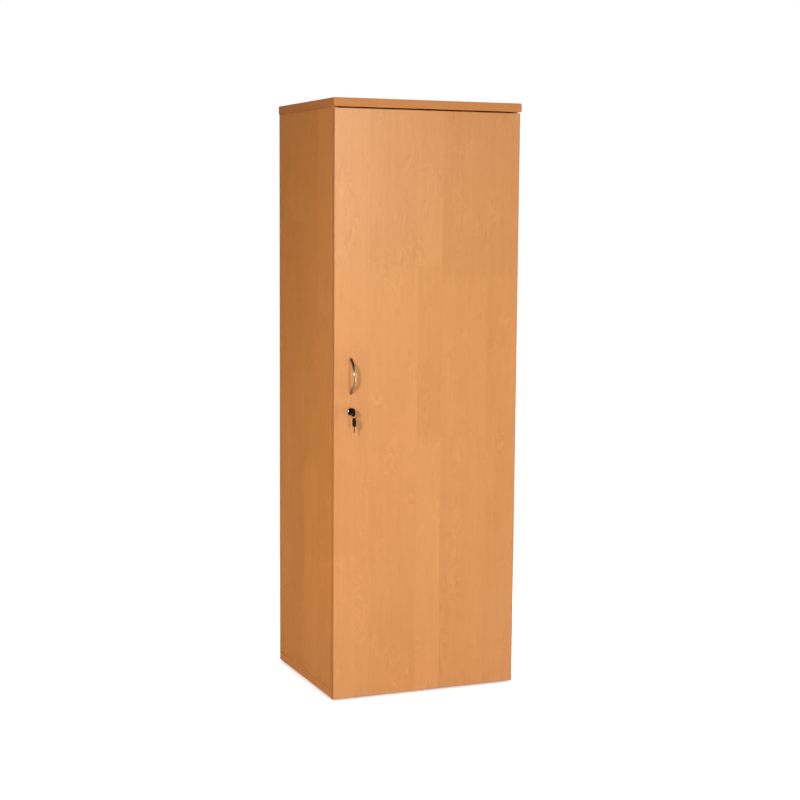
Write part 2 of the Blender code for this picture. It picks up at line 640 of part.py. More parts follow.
cam_half = CAM_WIDTH / 2
hole_half = tail_half + FIT
cam_outline = arc((0.0, 0.0), (cam_half, cam_half), 180.0, 0.0, CAM_END_STEPS)
cam_outline += [(cam_half, -CAM_LENGTH + cam_half / 2), (cam_half / 2, -CAM_LENGTH),
                (-cam_half / 2, -CAM_LENGTH), (-cam_half, -CAM_LENGTH + cam_half / 2)]
cam_hole = [(-hole_half, -hole_half), (hole_half, -hole_half), (hole_half, hole_half),
            (-hole_half, hole_half)]
flat_piece("lock_cam", [cam_outline, cam_hole], CAM_THICKNESS,
           (lock_x, (cam_front + cam_rear) / 2, lock_height), STEEL, lock_pivot, out_turn)
head_front = cam_rear + FIT
cam_screw = rod("cam_screw", "Y", CAM_SCREW_HEAD_RADIUS, head_front, head_front + CAM_SCREW_HEAD_HEIGHT,
                lock_spot, STEEL, lock_pivot)
join(cam_screw, rod("cam_screw_shank", "Y", CAM_SCREW_RADIUS, screw_tip,
                    head_front + CAM_SCREW_HEAD_HEIGHT / 2, lock_spot, STEEL, lock_pivot))

# Strike plate: its short leg stands in front of the turned cam
strike_back = cam_front - STRIKE_CAM_GAP
strike_front = strike_back - STRIKE_THICKNESS
strike_outline = [(0.0, 0.0), (STRIKE_LEG, 0.0), (STRIKE_LEG, STRIKE_THICKNESS),
                  (STRIKE_THICKNESS, STRIKE_THICKNESS), (STRIKE_THICKNESS, STRIKE_LENGTH),
                  (0.0, STRIKE_LENGTH)]
strike_plate = flat_piece("strike_plate", [strike_outline], STRIKE_HEIGHT,
                          (-side_inner + FIT, strike_front, lock_height), STEEL)
strike_head = -side_inner + FIT + STRIKE_THICKNESS + FIT
strike_tip = strike_head - STRIKE_SCREW_LENGTH
for level, sign in (("upper", 1), ("lower", -1)):
    name = f"strike_screw_{level}"
    spot = (strike_front + STRIKE_SCREW_SETBACK, lock_height + sign * STRIKE_SCREW_SPACING / 2)
    screw = rod(name, "X", STRIKE_SCREW_HEAD_RADIUS, strike_head, strike_head + STRIKE_SCREW_HEAD_HEIGHT,
                spot, STEEL)
    join(screw, rod(f"{name}_shank", "X", STRIKE_SCREW_RADIUS, strike_tip,
                    strike_head + STRIKE_SCREW_HEAD_HEIGHT / 2, spot, STEEL))
    for drilled in (strike_plate, side_panels["left"]):
        cut(drilled, rod(f"{name}_hole_{drilled.name}", "X", STRIKE_SCREW_RADIUS + FIT, strike_tip - FIT,
                         strike_head, spot, STEEL))

# Keys: a metal blade with a moulded head; local X runs from the ring hole to the tip
head_inner = KEY_HEAD_LENGTH - KEY_HOLE_EDGE
head_centre = head_inner - KEY_HEAD_LENGTH / 2
blade_tip = head_inner + KEY_BLADE_LENGTH
blade_half = KEY_BLADE_WIDTH / 2
notch_step = KEY_BLADE_LENGTH / (len(KEY_NOTCHES) + 2)


def key_blade_outline():
    """The tang, the notched edge out to a pointed tip, and the straight edge back."""
    points = [(head_inner - KEY_TANG_LENGTH, blade_half), (head_inner + notch_step / 2, blade_half)]
    for index, depth in enumerate(KEY_NOTCHES):
        middle = head_inner + notch_step * (index + KEY_FIRST_NOTCH)
        points += [(middle - notch_step / 4, blade_half - depth),
                   (middle + notch_step / 4, blade_half - depth)]
    points += [(blade_tip - blade_half / 2, blade_half / 2), (blade_tip, 0.0)]
    points += [(blade_tip - blade_half, -blade_half), (head_inner - KEY_TANG_LENGTH, -blade_half)]
    return points


def build_key(blade_name, head_name, place, turn, holder):
    flat_piece(blade_name, [key_blade_outline()], KEY_BLADE_THICKNESS, place, STEEL, holder, turn)
    head_outline = ring_outline((head_centre, 0.0), (KEY_HEAD_LENGTH / 2, KEY_HEAD_WIDTH / 2), ROUND_STEPS)
    hole_outline = ring_outline((0.0, 0.0), (KEY_HOLE_RADIUS, KEY_HOLE_RADIUS), SMALL_STEPS)
    head = flat_piece(head_name, [head_outline, hole_outline], KEY_HEAD_THICKNESS, place, BLACK_PLASTIC,
                      holder, turn)
    slot_start = head_inner - KEY_TANG_LENGTH - FIT
    slot_end = head_inner + FIT
    slot_half = blade_half + FIT
    slot_outline = [(slot_start, -slot_half), (slot_end, -slot_half), (slot_end, slot_half),
                    (slot_start, slot_half)]
    slot_thickness = KEY_BLADE_THICKNESS + 2 * FIT
    cut(head, flat_piece(f"{head_name}_slot", [slot_outline], slot_thickness, place, BLACK_PLASTIC, holder,
                         turn))


key_pivot = pivot("key_pivot", (lock_x, ring_y, lock_height), lock_pivot)
build_key("key_blade", "key_head", (lock_x, ring_y, lock_height), (math.pi / 2, 0.0, math.pi / 2),
          key_pivot)

ring_pivot = pivot("ring_pivot", (lock_x, ring_y, ring_top), key_pivot)
ring_shape = bpy.data.curves.new("key_ring", "CURVE")
ring_shape.dimensions = "3D"
ring_shape.bevel_depth = RING_WIRE_RADIUS
ring_shape.bevel_resolution = RING_BEVEL_STEPS
ring_line = ring_shape.splines.new("POLY")
ring_points = ring_outline((0.0, -RING_MEAN_RADIUS), (RING_MEAN_RADIUS, RING_MEAN_RADIUS), ROUND_STEPS)
ring_line.points.add(len(ring_points) - 1)
for point, (x, z) in zip(ring_line.points, ring_points):
    point.co = (x, 0.0, z, 1.0)
ring_line.use_cyclic_u = True
mesh_of_curve("key_ring", ring_shape, STEEL, (lock_x, ring_y, ring_top), ring_pivot)

spare_pivot = pivot("spare_key_pivot", (lock_x, ring_y, ring_bottom), ring_pivot)
build_key("spare_key_blade", "spare_key_head", (lock_x, ring_y, spare_hole_height),
          (0.0, math.pi / 2, 0.0), spare_pivot)
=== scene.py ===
import math

import bmesh
import bpy
import numpy as np
from mathutils import Matrix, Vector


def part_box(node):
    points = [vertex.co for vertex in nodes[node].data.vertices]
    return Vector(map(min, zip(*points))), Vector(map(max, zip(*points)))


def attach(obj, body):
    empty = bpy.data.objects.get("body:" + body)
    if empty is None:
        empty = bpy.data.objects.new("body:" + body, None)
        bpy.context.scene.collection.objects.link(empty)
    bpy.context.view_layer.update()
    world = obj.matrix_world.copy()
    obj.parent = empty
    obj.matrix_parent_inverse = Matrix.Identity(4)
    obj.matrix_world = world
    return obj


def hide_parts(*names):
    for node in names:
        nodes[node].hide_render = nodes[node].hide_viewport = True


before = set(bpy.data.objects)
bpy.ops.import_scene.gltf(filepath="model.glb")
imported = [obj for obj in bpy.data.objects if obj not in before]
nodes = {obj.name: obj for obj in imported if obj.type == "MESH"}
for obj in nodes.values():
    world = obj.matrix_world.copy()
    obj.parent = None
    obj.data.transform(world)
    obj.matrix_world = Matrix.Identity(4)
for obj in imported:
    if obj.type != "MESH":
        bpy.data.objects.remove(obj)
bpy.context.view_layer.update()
scene = bpy.context.scene
print("frame loaded with", len(nodes), "nodes")

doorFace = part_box("door_panel")[0].y  # the door's front is its lowest y
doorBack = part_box("door_panel")[1].y
seat = 0.0003  # clearance of a piece that lies on another, as in the CAD model
toFront, toBack, toLeft, toRight, toTop = (0, -1, 0), (0, 1, 0), (-1, 0, 0), (1, 0, 0), (0, 0, 1)


def middle(node):
    low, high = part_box(node)
    return np.array((low + high) / 2)


def srgb(red, green, blue):  # display values of 0 to 255 to linear RGBA
    s = np.array([red, green, blue]) / 255
    return (*np.where(s <= 0.04045, s / 12.92, ((s + 0.055) / 1.055) ** 2.4).tolist(), 1.0)


# surfaces: every piece is one or more grids of points with quads between them

def gridFaces(rows, cols, wrapRows, wrapCols):  # quads between neighbouring rows and columns
    r, c = np.meshgrid(np.arange(rows - (not wrapRows)), np.arange(cols - (not wrapCols)), indexing="ij")
    r2, c2 = (r + 1) % rows, (c + 1) % cols
    return np.stack([r * cols + c, r2 * cols + c, r2 * cols + c2, r * cols + c2], -1).reshape(-1, 4)


def surface(grid, wrapRows=False, wrapCols=False):
    return grid.reshape(-1, 3), gridFaces(*grid.shape[:2], wrapRows, wrapCols)


def placed(parts, origin, outward, upward):  # local Z goes to outward, local X to upward, then to the origin
    z, x = np.array(outward, float), np.array(upward, float)
    axes = np.array([x, np.cross(z, x), z])
    return [(points @ axes + np.array(origin), faces) for points, faces in parts]


def smooth(x):  # 3x^2 - 2x^3 between 0 and 1
    x = np.clip(x, 0, 1)
    return x * x * (3 - 2 * x)


def around(steps):  # angles of one turn
    return np.linspace(0, 2 * np.pi, steps, endpoint=False)


def squircle(a, power):  # sign(w) |w|^power for w = cos a and sin a, squarer than a circle where the power is below 1
    return [np.sign(w) * abs(w) ** power for w in (np.cos(a), np.sin(a))]


def rounded(corners, radius, steps=5):
    # rounds the inner corners of a polyline: (1-t)^2 a + 2t(1-t) corner + t^2 b, a and b a radius off on its legs
    p = np.array(corners, float)
    before, here, after = p[:-2], p[1:-1], p[2:]
    reach = np.broadcast_to(radius, len(here))[:, None]
    legs = [far - here for far in (before, after)]
    a, b = [here + leg * np.minimum(reach / np.linalg.norm(leg, axis=1)[:, None], 0.5) for leg in legs]
    t = np.linspace(0, 1, steps)[None, :, None]
    arcs = (1 - t) ** 2 * a[:, None] + 2 * t * (1 - t) * here[:, None] + t ** 2 * b[:, None]
    return np.concatenate([p[:1], arcs.reshape(-1, 2), p[-1:]])


def lathe(profile, steps):
    # profile (r, h) turned about Z: (r cos a, r sin a, h)
    a = around(steps)
    r, h = np.array(profile)[:, :1], np.array(profile)[:, 1:]
    return surface(np.stack([r * np.cos(a), r * np.sin(a), h + 0 * a], -1), False, True)


def sweep(path, side, lift, profile, scale):
    # profile (u, v) carried along a path: path + scale (u side + v lift), drawn to a point at both ends
    u, v = profile[:, 0][None, :, None], profile[:, 1][None, :, None]
    body = path[:, None] + scale[:, None, None] * (u * side[:, None] + v * lift[:, None])
    ends = [np.repeat(path[i][None, None], len(profile), 1) for i in (0, -1)]
    return np.concatenate([ends[0], body, ends[1]])


def strip(path, thick, low, high):
    # a flat bar bent along a path (x, y): path plus and minus half its thickness along the normal, from low to high z
    run = np.gradient(path, axis=0)
    normal = np.stack([-run[:, 1], run[:, 0]], 1) / np.linalg.norm(run, axis=1)[:, None] * thick / 2
    left, right = path + normal, path - normal
    ring = np.concatenate([left, right[::-1]])
    walls = np.stack([np.insert(ring, 2, z, 1) for z in (low, high)])
    caps = [np.insert(np.stack([left, right], 1), 2, z, 2) for z in (low, high)]
    return [surface(walls, False, True)] + [surface(cap) for cap in caps]


def ringPlate(outer, inner, rows, heights, crowd=1.7):
    # a plate between two outlines: outer + s (inner - outer) on both faces, heights(s, x, y) above and below;
    # crowd draws the rows towards the outer one
    s = np.linspace(0, 1, rows)[:, None, None] ** crowd
    flat = outer + (inner - outer) * s
    rise = heights(s[..., 0], flat[..., 0], flat[..., 1]) + 0 * flat[..., 0]
    return surface(np.concatenate([np.dstack([flat, rise]), np.dstack([flat, -rise])[::-1]]), True, True)


def rim(s, share):  # quarter-round edge of a plate: 0 at its outline, 1 a share of the way in
    return np.sqrt(1 - (1 - np.minimum(s / share, 1)) ** 2)


# shares of a screw's radius, height and length
crossLook = dict(fall=0.45, armLength=0.58, armHalf=0.15, endSlope=0.1, sideSlope=0.08, recess=0.6, straight=0.8,
                 rows=15, sides=40)


def crossScrew(radius, height, shank, length):
    # pan head h (1 - fall p^4) over a polar grid less a cross-shaped recess, on a shank with a pointed end
    p, a = np.meshgrid(np.linspace(0, 1, crossLook["rows"]), around(crossLook["sides"]), indexing="ij")
    x, y = p * np.cos(a), p * np.sin(a)
    arms = [np.clip((crossLook["armLength"] - abs(u)) / crossLook["endSlope"], 0, 1)
            * np.clip((crossLook["armHalf"] - abs(v)) / crossLook["sideSlope"], 0, 1) for u, v in ((x, y), (y, x))]
    top = height * (1 - crossLook["fall"] * p ** 4 - crossLook["recess"] * np.maximum(*arms))
    skin = np.stack([radius * x, radius * y, top], -1)
    under = [skin[-1:] * (1, 1, 0), skin[-1:] * (shank / radius, shank / radius, 0)]
    under += [under[1] - (0, 0, crossLook["straight"] * length), under[1] * 0 - (0, 0, length)]
    return surface(np.concatenate([skin] + under), False, True)


def makePiece(name, parts, finish, body, node, sharp=38.0, bevel=0.0):
    # the grids as one welded mesh, smooth below the sharp angle, on its body and in place of its CAD node
    starts = np.cumsum([0] + [len(points) for points, faces in parts])
    mesh = bpy.data.meshes.new(name)
    mesh.from_pydata(np.concatenate([points for points, faces in parts]).tolist(), [],
                     np.concatenate([faces + start for (points, faces), start in zip(parts, starts)]).tolist())
    weld = bmesh.new()
    weld.from_mesh(mesh)
    bmesh.ops.remove_doubles(weld, verts=weld.verts, dist=1e-6)  # closes seams and poles
    bmesh.ops.recalc_face_normals(weld, faces=weld.faces)
    weld.to_mesh(mesh)
    weld.free()
    mesh.shade_smooth()
    mesh.set_sharp_from_angle(angle=math.radians(sharp))
    mesh.materials.append(finishes[finish])
    piece = bpy.data.objects.new(name, mesh)
    scene.collection.objects.link(piece)
    if bevel:
        edges = piece.modifiers.new("softEdges", "BEVEL")
        edges.width, edges.segments, edges.limit_method = bevel, 2, "ANGLE"
        edges.angle_limit = math.radians(sharp)
    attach(piece, body)
    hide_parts(node)


# node helpers

def addNode(tree, kind, inputs=None, **settings):  # inputs take a socket to link or a plain value
    node = tree.nodes.new(kind)
    for key, value in settings.items():
        setattr(node, key, value)
    for key, value in (inputs or {}).items():
        if isinstance(value, bpy.types.NodeSocket):
            tree.links.new(value, node.inputs[key])
        else:
            node.inputs[key].default_value = value
    return node


def calc(tree, operation, *values, clamp=False):
    return addNode(tree, "ShaderNodeMath", dict(enumerate(values)), operation=operation, use_clamp=clamp).outputs[0]


def vectorCalc(tree, operation, first, second):
    return addNode(tree, "ShaderNodeVectorMath", {0: first, 1: second}, operation=operation).outputs[0]


def ramp(tree, value, low, high, toLow=0.0, toHigh=1.0):  # smooth step from low to high
    return addNode(tree, "ShaderNodeMapRange",
                   {"Value": value, "From Min": low, "From Max": high, "To Min": toLow, "To Max": toHigh},
                   interpolation_type="SMOOTHSTEP").outputs[0]


def stretchedNoise(tree, vector, scale, detail, roughness, distortion=0.0):
    spread = vectorCalc(tree, "MULTIPLY", vector, scale)
    return addNode(tree, "ShaderNodeTexNoise", {"Vector": spread, "Scale": 1.0, "Detail": detail,
                                               "Roughness": roughness, "Distortion": distortion}).outputs[0]


def mixColours(tree, factor, *colours):  # sockets, or tones as display values
    first, second = [srgb(*c) if isinstance(c, tuple) else c for c in colours]
    return addNode(tree, "ShaderNodeMix", {0: factor, 6: first, 7: second}, data_type="RGBA").outputs[2]


def newGroup(name, inputs, outputs):  # sockets are (name, type)
    group = bpy.data.node_groups.new(name, "ShaderNodeTree")
    for way, sockets in (("INPUT", inputs), ("OUTPUT", outputs)):
        for label, kind in sockets:
            group.interface.new_socket(label, in_out=way, socket_type=kind)
    return group, group.nodes.new("NodeGroupInput").outputs, group.nodes.new("NodeGroupOutput").inputs


def useGroup(tree, group, inputs):
    return addNode(tree, "ShaderNodeGroup", inputs, node_tree=group).outputs


def objectSpot(tree):
    return addNode(tree, "ShaderNodeTexCoord").outputs["Object"]


def newMaterial(name):
    material = bpy.data.materials.new(name)
    material.use_nodes = True
    tree = material.node_tree
    return material, tree, tree.nodes["Principled BSDF"]


def coat(tree, shader, colour, rough, height, strength, distance):  # links what every finish has
    tree.links.new(colour, shader.inputs["Base Color"])
    tree.links.new(rough, shader.inputs["Roughness"])
    bump = addNode(tree, "ShaderNodeBump", {"Height": height, "Strength": strength, "Distance": distance})
    tree.links.new(bump.outputs[0], shader.inputs["Normal"])


def dress(material, *names):  # CAD nodes that keep their shape take a finish
    for name in names:
        nodes[name].data.materials.clear()
        nodes[name].data.materials.append(material)


value, vector = "NodeSocketFloat", "NodeSocketVector"

# beech figure, grain along Z: clouds, flame curls and fine streaks (-1 to 1), small ray flecks (0 to 1)
figureNoise = {  # stretch along X, Y and Z, detail, roughness, distortion
    "broad": ((9, 9, 3.0), 3, 0.55, 0.6), "small": ((34, 34, 11), 3, 0.55, 1.6),
    "contour": ((22, 22, 8.5), 2, 0.5, 1.4), "patches": ((17, 17, 6), 2, 0.5, 0.5),
    "fine": ((420, 420, 7), 3, 0.6), "wide": ((95, 95, 2.2), 2, 0.5), "fleck": ((900, 900, 260), 1, 0.4),
}
figureRamps = {  # where a noise begins and ends to count, and what it comes to there
    "broad": (0.3, 0.7, -0.55, 0.55), "small": (0.3, 0.7, -0.45, 0.45), "patches": (0.48, 0.64),
    "fine": (0.25, 0.75, -0.5, 0.5), "wide": (0.3, 0.7, -0.5, 0.5), "fleck": (0.66, 0.74),
}
curlLines = 6.0  # contour lines over the noise's whole range
beechFigure, figureIn, figureOut = newGroup(
    "beechFigure", [("Vector", vector)], [("Cloud", value), ("Curl", value), ("Streak", value), ("Fleck", value)])
noises = {name: stretchedNoise(beechFigure, figureIn[0], *noise) for name, noise in figureNoise.items()}
ramped = {name: ramp(beechFigure, noises[name], *limits) for name, limits in figureRamps.items()}
contour = calc(beechFigure, "FRACT", calc(beechFigure, "MULTIPLY", noises["contour"], curlLines))
flame = calc(beechFigure, "MULTIPLY_ADD", contour, 2.0, -1.0)  # fades in, ends at a crisp line
figureParts = {
    "Cloud": calc(beechFigure, "ADD", ramped["broad"], ramped["small"]),
    "Curl": calc(beechFigure, "MULTIPLY", flame, ramped["patches"]),
    "Streak": calc(beechFigure, "ADD", ramped["fine"], ramped["wide"]),
    "Fleck": ramped["fleck"],
}
for output, result in figureParts.items():
    beechFigure.links.new(result, figureOut[output])

# one board of the planked print: its tone inside a box of X and Z, nothing outside; soft ends for the colour, and
# crisp ones for sliding the figure
plankLook = dict(crisp=0.0008, soft=0.03)
plankPatch, plankIn, plankOut = newGroup(
    "plankPatch", [("Vector", vector), ("Low X", value), ("High X", value), ("Low Z", value), ("High Z", value),
                   ("Tone", value)], [("Tone", value), ("Slide", value)])
apart = addNode(plankPatch, "ShaderNodeSeparateXYZ", {0: plankIn["Vector"]}).outputs
within = {}
for axis in "XZ":
    over = calc(plankPatch, "SUBTRACT", apart[axis], plankIn["Low " + axis])
    under = calc(plankPatch, "SUBTRACT", plankIn["High " + axis], apart[axis])
    within[axis] = calc(plankPatch, "MINIMUM", over, under)
sides = ramp(plankPatch, within["X"], -plankLook["crisp"], plankLook["crisp"])
column = calc(plankPatch, "MULTIPLY", plankIn["Tone"], sides)
for output, soft in (("Tone", plankLook["soft"]), ("Slide", plankLook["crisp"])):
    ends = ramp(plankPatch, within["Z"], -soft, soft)
    plankPatch.links.new(calc(plankPatch, "MULTIPLY", column, ends), plankOut[output])

# edge banding: 1 where a point lies within the band of any edge of its panel's box, the same for the ends across X
# alone, the hairline beside the band, and the arris, which the panels lighten as a painted highlight
bandLook = dict(crisp=0.00004, corner=0.0001, seam=(0.00005, 0.00016), arris=0.0011)
edgeBand, bandIn, bandOut = newGroup(
    "edgeBand", [("Vector", vector), ("Low", vector), ("High", vector), ("Band", value)],
    [("Band", value), ("Band X", value), ("Seam", value), ("Arris", value)])
gaps = []
for first, second in (("Vector", "Low"), ("High", "Vector")):
    gap = vectorCalc(edgeBand, "SUBTRACT", bandIn[first], bandIn[second])
    gaps.append(addNode(edgeBand, "ShaderNodeSeparateXYZ", {0: gap}).outputs)
nearX, nearY, nearZ = [calc(edgeBand, "MINIMUM", gaps[0][axis], gaps[1][axis]) for axis in "XYZ"]
nearYZ = calc(edgeBand, "MINIMUM", nearY, nearZ)
nearest = calc(edgeBand, "MINIMUM", nearX, nearYZ)
beyond = calc(edgeBand, "SUBTRACT", nearest, bandIn["Band"])
bandParts = {
    "Band": (beyond, -bandLook["crisp"], bandLook["crisp"]),
    "Band X": (calc(edgeBand, "SUBTRACT", nearX, nearYZ), -bandLook["corner"], bandLook["corner"]),
    "Seam": (calc(edgeBand, "ABSOLUTE", beyond), *bandLook["seam"]),
    "Arris": (nearest, 0.0, bandLook["arris"]),
}
for output, limits in bandParts.items():
    edgeBand.links.new(ramp(edgeBand, *limits, 1.0, 0.0), bandOut[output])

# handling marks: slow blotches and short scuffs, for tone and roughness
markNoise = {  # stretch, detail, roughness, distortion; then where it begins and ends to count
    "Blotch": (((7, 7, 7), 4, 0.6, 0.3), (0.35, 0.7)),
    "Scuff": (((260, 24, 260), 3, 0.6, 0.8), (0.62, 0.74)),
}
handlingMarks, marksIn, marksOut = newGroup(
    "handlingMarks", [("Vector", vector), ("Size", value)], [("Blotch", value), ("Scuff", value)])
sized = addNode(handlingMarks, "ShaderNodeVectorMath", {0: marksIn[0], "Scale": marksIn[1]},
                operation="SCALE").outputs[0]
for output, (noise, limits) in markNoise.items():
    mark = ramp(handlingMarks, stretchedNoise(handlingMarks, sized, *noise), *limits)
    handlingMarks.links.new(mark, marksOut[output])

# brushed or drawn metal: lines (-1 to 1) of a noise stretched by Stretch
brushLook = dict(detail=4, roughness=0.65, limits=(0.25, 0.75))
brushLines, brushIn, brushOut = newGroup(
    "brushLines", [("Vector", vector), ("Stretch", vector)], [("Line", value)])
brushed = stretchedNoise(brushLines, brushIn[0], brushIn[1], brushLook["detail"], brushLook["roughness"])
brushLines.links.new(ramp(brushLines, brushed, *brushLook["limits"], -1.0, 1.0), brushOut["Line"])
print("shared node groups made")


panelLooks = dict(
    bandWidth=0.0016, plankGain=0.07, cloudGain=0.12, curlGain=0.2, streakGain=0.09, fleckGain=0.10, slide=3.7,
    bandStreak=0.25, bandSpread=6, arrisShare=0.3, seamShare=0.5, seamColour=(112, 66, 30),
    fibre=((300, 300, 300), 5, 0.7), fibreCloud=0.3, rearEdge=0.0005,
    blotchRough=0.05, bandRough=0.12, bumpStrength=0.35, bump=0.00002,
)
flat = 10.0  # beyond every panel: no edge on that axis


def planks(edges, ends, columns):  # low x, high x, low z, high z and tone of each board, from the top down
    boards = []
    for low, high, (joints, tones) in zip(edges, edges[1:], columns):
        heights = (ends[1], *joints, ends[0])
        boards += [(low, high, *span) for span in zip(heights[1:], heights, tones)]
    return boards


# columns of boards: heights of the joints, and tones in display levels
doorPlanks = planks((-0.40, -0.187, -0.032, 0.045, 0.194, 0.40), (-1.0, 2.0), [
    ((1.058, 0.435), (2.4, -0.2, 1.4)), ((1.286, 0.663), (-0.1, 0.9, -0.6)), ((1.296, 0.781), (0.4, -1.7, 1.8)),
    ((1.256, 0.781), (-3.2, -0.9, -1.4)), ((1.266,), (-3.0, -2.8))])
sidePlanks = planks((-0.40, -0.09, 0.03, 0.16, 0.40), (-1.0, 2.0), [
    ((1.150,), (0.8, -0.5)), ((0.690,), (-0.9, 0.9)), ((1.420,), (0.6, -0.7)), ((0.920,), (0.1, 0.9))])
boardPlanks = planks((-0.40, -0.12, 0.03, 0.17, 0.40), (-0.70, 0.70), [
    ((0.06,), (-0.9, 1.0)), ((0.15,), (1.2, -0.8)), ((-0.09,), (-0.6, 0.7)), ((), (0.4,))])
# band and ends are the edging's own tone, and the ends on faces across X also carry painted light: darker than the
# band on the door and the top as painted shade, lighter on the lying boards than on the door as painted light
doorTones = dict(pale=(231, 163, 103), deep=(207, 139, 80), band=(196, 124, 66), ends=(172, 91, 22))
# painted shade: the sides' pale and deep are a deeper copy of the door's laminate, though it is the same print
shadedSideTones = dict(pale=(227, 149, 83), deep=(196, 121, 55), band=(203, 134, 78), ends=(175, 97, 31))
topTones = dict(doorTones, band=(190, 117, 58), ends=(166, 85, 15))
boardTones = dict(doorTones, band=(203, 134, 78), ends=(193, 111, 41))
# turn brings the grain to Z and the board's width to X; thin is the axis of the thickness
doorBoard = dict(rough=0.30, gloss=0.34, turn=(0, 0, 0), thin=1, planks=doorPlanks, tones=doorTones)
sideBoard = dict(rough=0.30, gloss=0.34, turn=(0, 0, -90), thin=0, planks=sidePlanks, tones=shadedSideTones)
flatBoard = dict(rough=0.50, gloss=0.2, turn=(90, 0, 90), thin=2, planks=boardPlanks, tones=boardTones)
panels = {  # shift takes each board to its own stretch of the figure
    "door_panel": dict(doorBoard, shift=(0, 0, 0)),
    "left_side": dict(sideBoard, shift=(0, 3.1, 1.7)),
    "right_side": dict(sideBoard, shift=(0, 5.3, 0.9)),
    "top_panel": dict(flatBoard, shift=(1.3, 0, 0.4), tones=topTones),
    "base_panel": dict(flatBoard, shift=(2.9, 0, 1.1)),
    "hat_shelf": dict(flatBoard, shift=(4.7, 0, 2.3)),
    "back_panel": dict(doorBoard, shift=(0.8, 0, 6.1), rear=((122, 82, 48), (146, 102, 64))),
}


def laminate(node, look):
    material, tree, shader = newMaterial(node + "Laminate")
    tones = look["tones"]
    spot = objectSpot(tree)
    angles = [math.radians(angle) for angle in look["turn"]]
    turned = addNode(tree, "ShaderNodeMapping", {"Vector": spot, "Rotation": angles}, vector_type="POINT").outputs[0]
    tone = shift = 0.0
    for low, high, bottom, top, level in look["planks"]:
        patch = useGroup(tree, plankPatch, {"Vector": turned, "Low X": low, "High X": high, "Low Z": bottom,
                                            "High Z": top, "Tone": level})
        tone, shift = calc(tree, "ADD", tone, patch["Tone"]), calc(tree, "ADD", shift, patch["Slide"])
    # each plank shows another stretch of the figure
    slide = calc(tree, "MULTIPLY", shift, panelLooks["slide"])
    slide = addNode(tree, "ShaderNodeCombineXYZ", {"X": slide}).outputs[0]
    moved = vectorCalc(tree, "ADD", vectorCalc(tree, "ADD", turned, slide), look["shift"])
    figure = useGroup(tree, beechFigure, {"Vector": moved})
    level = calc(tree, "MULTIPLY_ADD", tone, panelLooks["plankGain"], 0.5)
    for output, gain in (("Cloud", "cloudGain"), ("Curl", "curlGain"), ("Streak", "streakGain")):
        level = calc(tree, "MULTIPLY_ADD", figure[output], panelLooks[gain], level)
    level = calc(tree, "MULTIPLY_ADD", figure["Fleck"], -panelLooks["fleckGain"], level, clamp=True)
    low, high = [list(corner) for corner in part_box(node)]
    low[look["thin"]], high[look["thin"]] = -flat, flat
    band = useGroup(tree, edgeBand, {"Vector": spot, "Low": low, "High": high, "Band": panelLooks["bandWidth"]})
    marks = useGroup(tree, handlingMarks, {"Vector": spot, "Size": 1.0})
    colour = mixColours(tree, level, tones["deep"], tones["pale"])
    streaked = calc(tree, "MULTIPLY_ADD", figure["Streak"], panelLooks["bandStreak"], 0.5)
    edges, spread = [], panelLooks["bandSpread"]
    # the ends tone carries each panel's painted shade and painted light on its faces across X
    for kind in ("band", "ends"):
        shades = [tuple([c + change for c in tones[kind]]) for change in (-spread, spread)]
        edges.append(mixColours(tree, streaked, *shades))
    edge = mixColours(tree, band["Band X"], *edges)
    # painted highlight: the rounded arris is lightened towards the pale tone
    arrisHighlight = calc(tree, "MULTIPLY", band["Arris"], panelLooks["arrisShare"])
    edge = mixColours(tree, arrisHighlight, edge, tones["pale"])
    colour = mixColours(tree, band["Band"], colour, edge)
    seam = calc(tree, "MULTIPLY", band["Seam"], panelLooks["seamShare"])
    colour = mixColours(tree, seam, colour, panelLooks["seamColour"])
    if "rear" in look:  # the back board's print is on its front only
        depth = addNode(tree, "ShaderNodeSeparateXYZ", {0: spot}).outputs["Y"]
        fibre = stretchedNoise(tree, spot, *panelLooks["fibre"])
        fibre = calc(tree, "MULTIPLY_ADD", figure["Cloud"], panelLooks["fibreCloud"], fibre, clamp=True)
        bare = mixColours(tree, fibre, *look["rear"])
        limits = [middle(node)[1] + change for change in (-panelLooks["rearEdge"], panelLooks["rearEdge"])]
        colour = mixColours(tree, ramp(tree, depth, *limits), colour, bare)
    rough = calc(tree, "MULTIPLY_ADD", marks["Blotch"], panelLooks["blotchRough"], look["rough"])
    rough = calc(tree, "MULTIPLY_ADD", band["Band"], panelLooks["bandRough"], rough)
    shader.inputs["Specular IOR Level"].default_value = look["gloss"]
    relief = calc(tree, "SUBTRACT", figure["Streak"], figure["Fleck"])
    coat(tree, shader, colour, rough, relief, panelLooks["bumpStrength"], panelLooks["bump"])
    dress(material, node)


for node, look in panels.items():
    laminate(node, look)
print("laminated panels finished:", ", ".join(panels))

metals = {  # two tones, roughness, and how the brushed lines stretch along X, Y and Z
    "zincPlate": dict(dark=(158, 160, 160), light=(206, 207, 204), rough=0.32, stretch=(900, 260, 900), lines=0.5),
    "chromePlate": dict(dark=(205, 206, 207), light=(232, 232, 231), rough=0.1, stretch=(30, 900, 900), lines=0.25),
    "satinNickel": dict(dark=(150, 130, 107), light=(188, 167, 142), rough=0.2, stretch=(900, 900, 60), lines=0.4),
    "darkNickel": dict(dark=(104, 98, 92), light=(160, 153, 145), rough=0.13, stretch=(600, 600, 600), lines=0.3),
    "keySteel": dict(dark=(118, 88, 60), light=(160, 126, 94), rough=0.28, stretch=(900, 120, 900), lines=0.5),
}
plastics = {  # two tones, roughness, gloss, and the fineness of the moulded grain
    "blackPlastic": dict(dark=(8, 7, 6), light=(19, 17, 15), rough=0.45, gloss=0.08, grain=1500.0),
    "palePlastic": dict(dark=(206, 202, 190), light=(226, 223, 214), rough=0.45, gloss=0.4, grain=900.0),
}
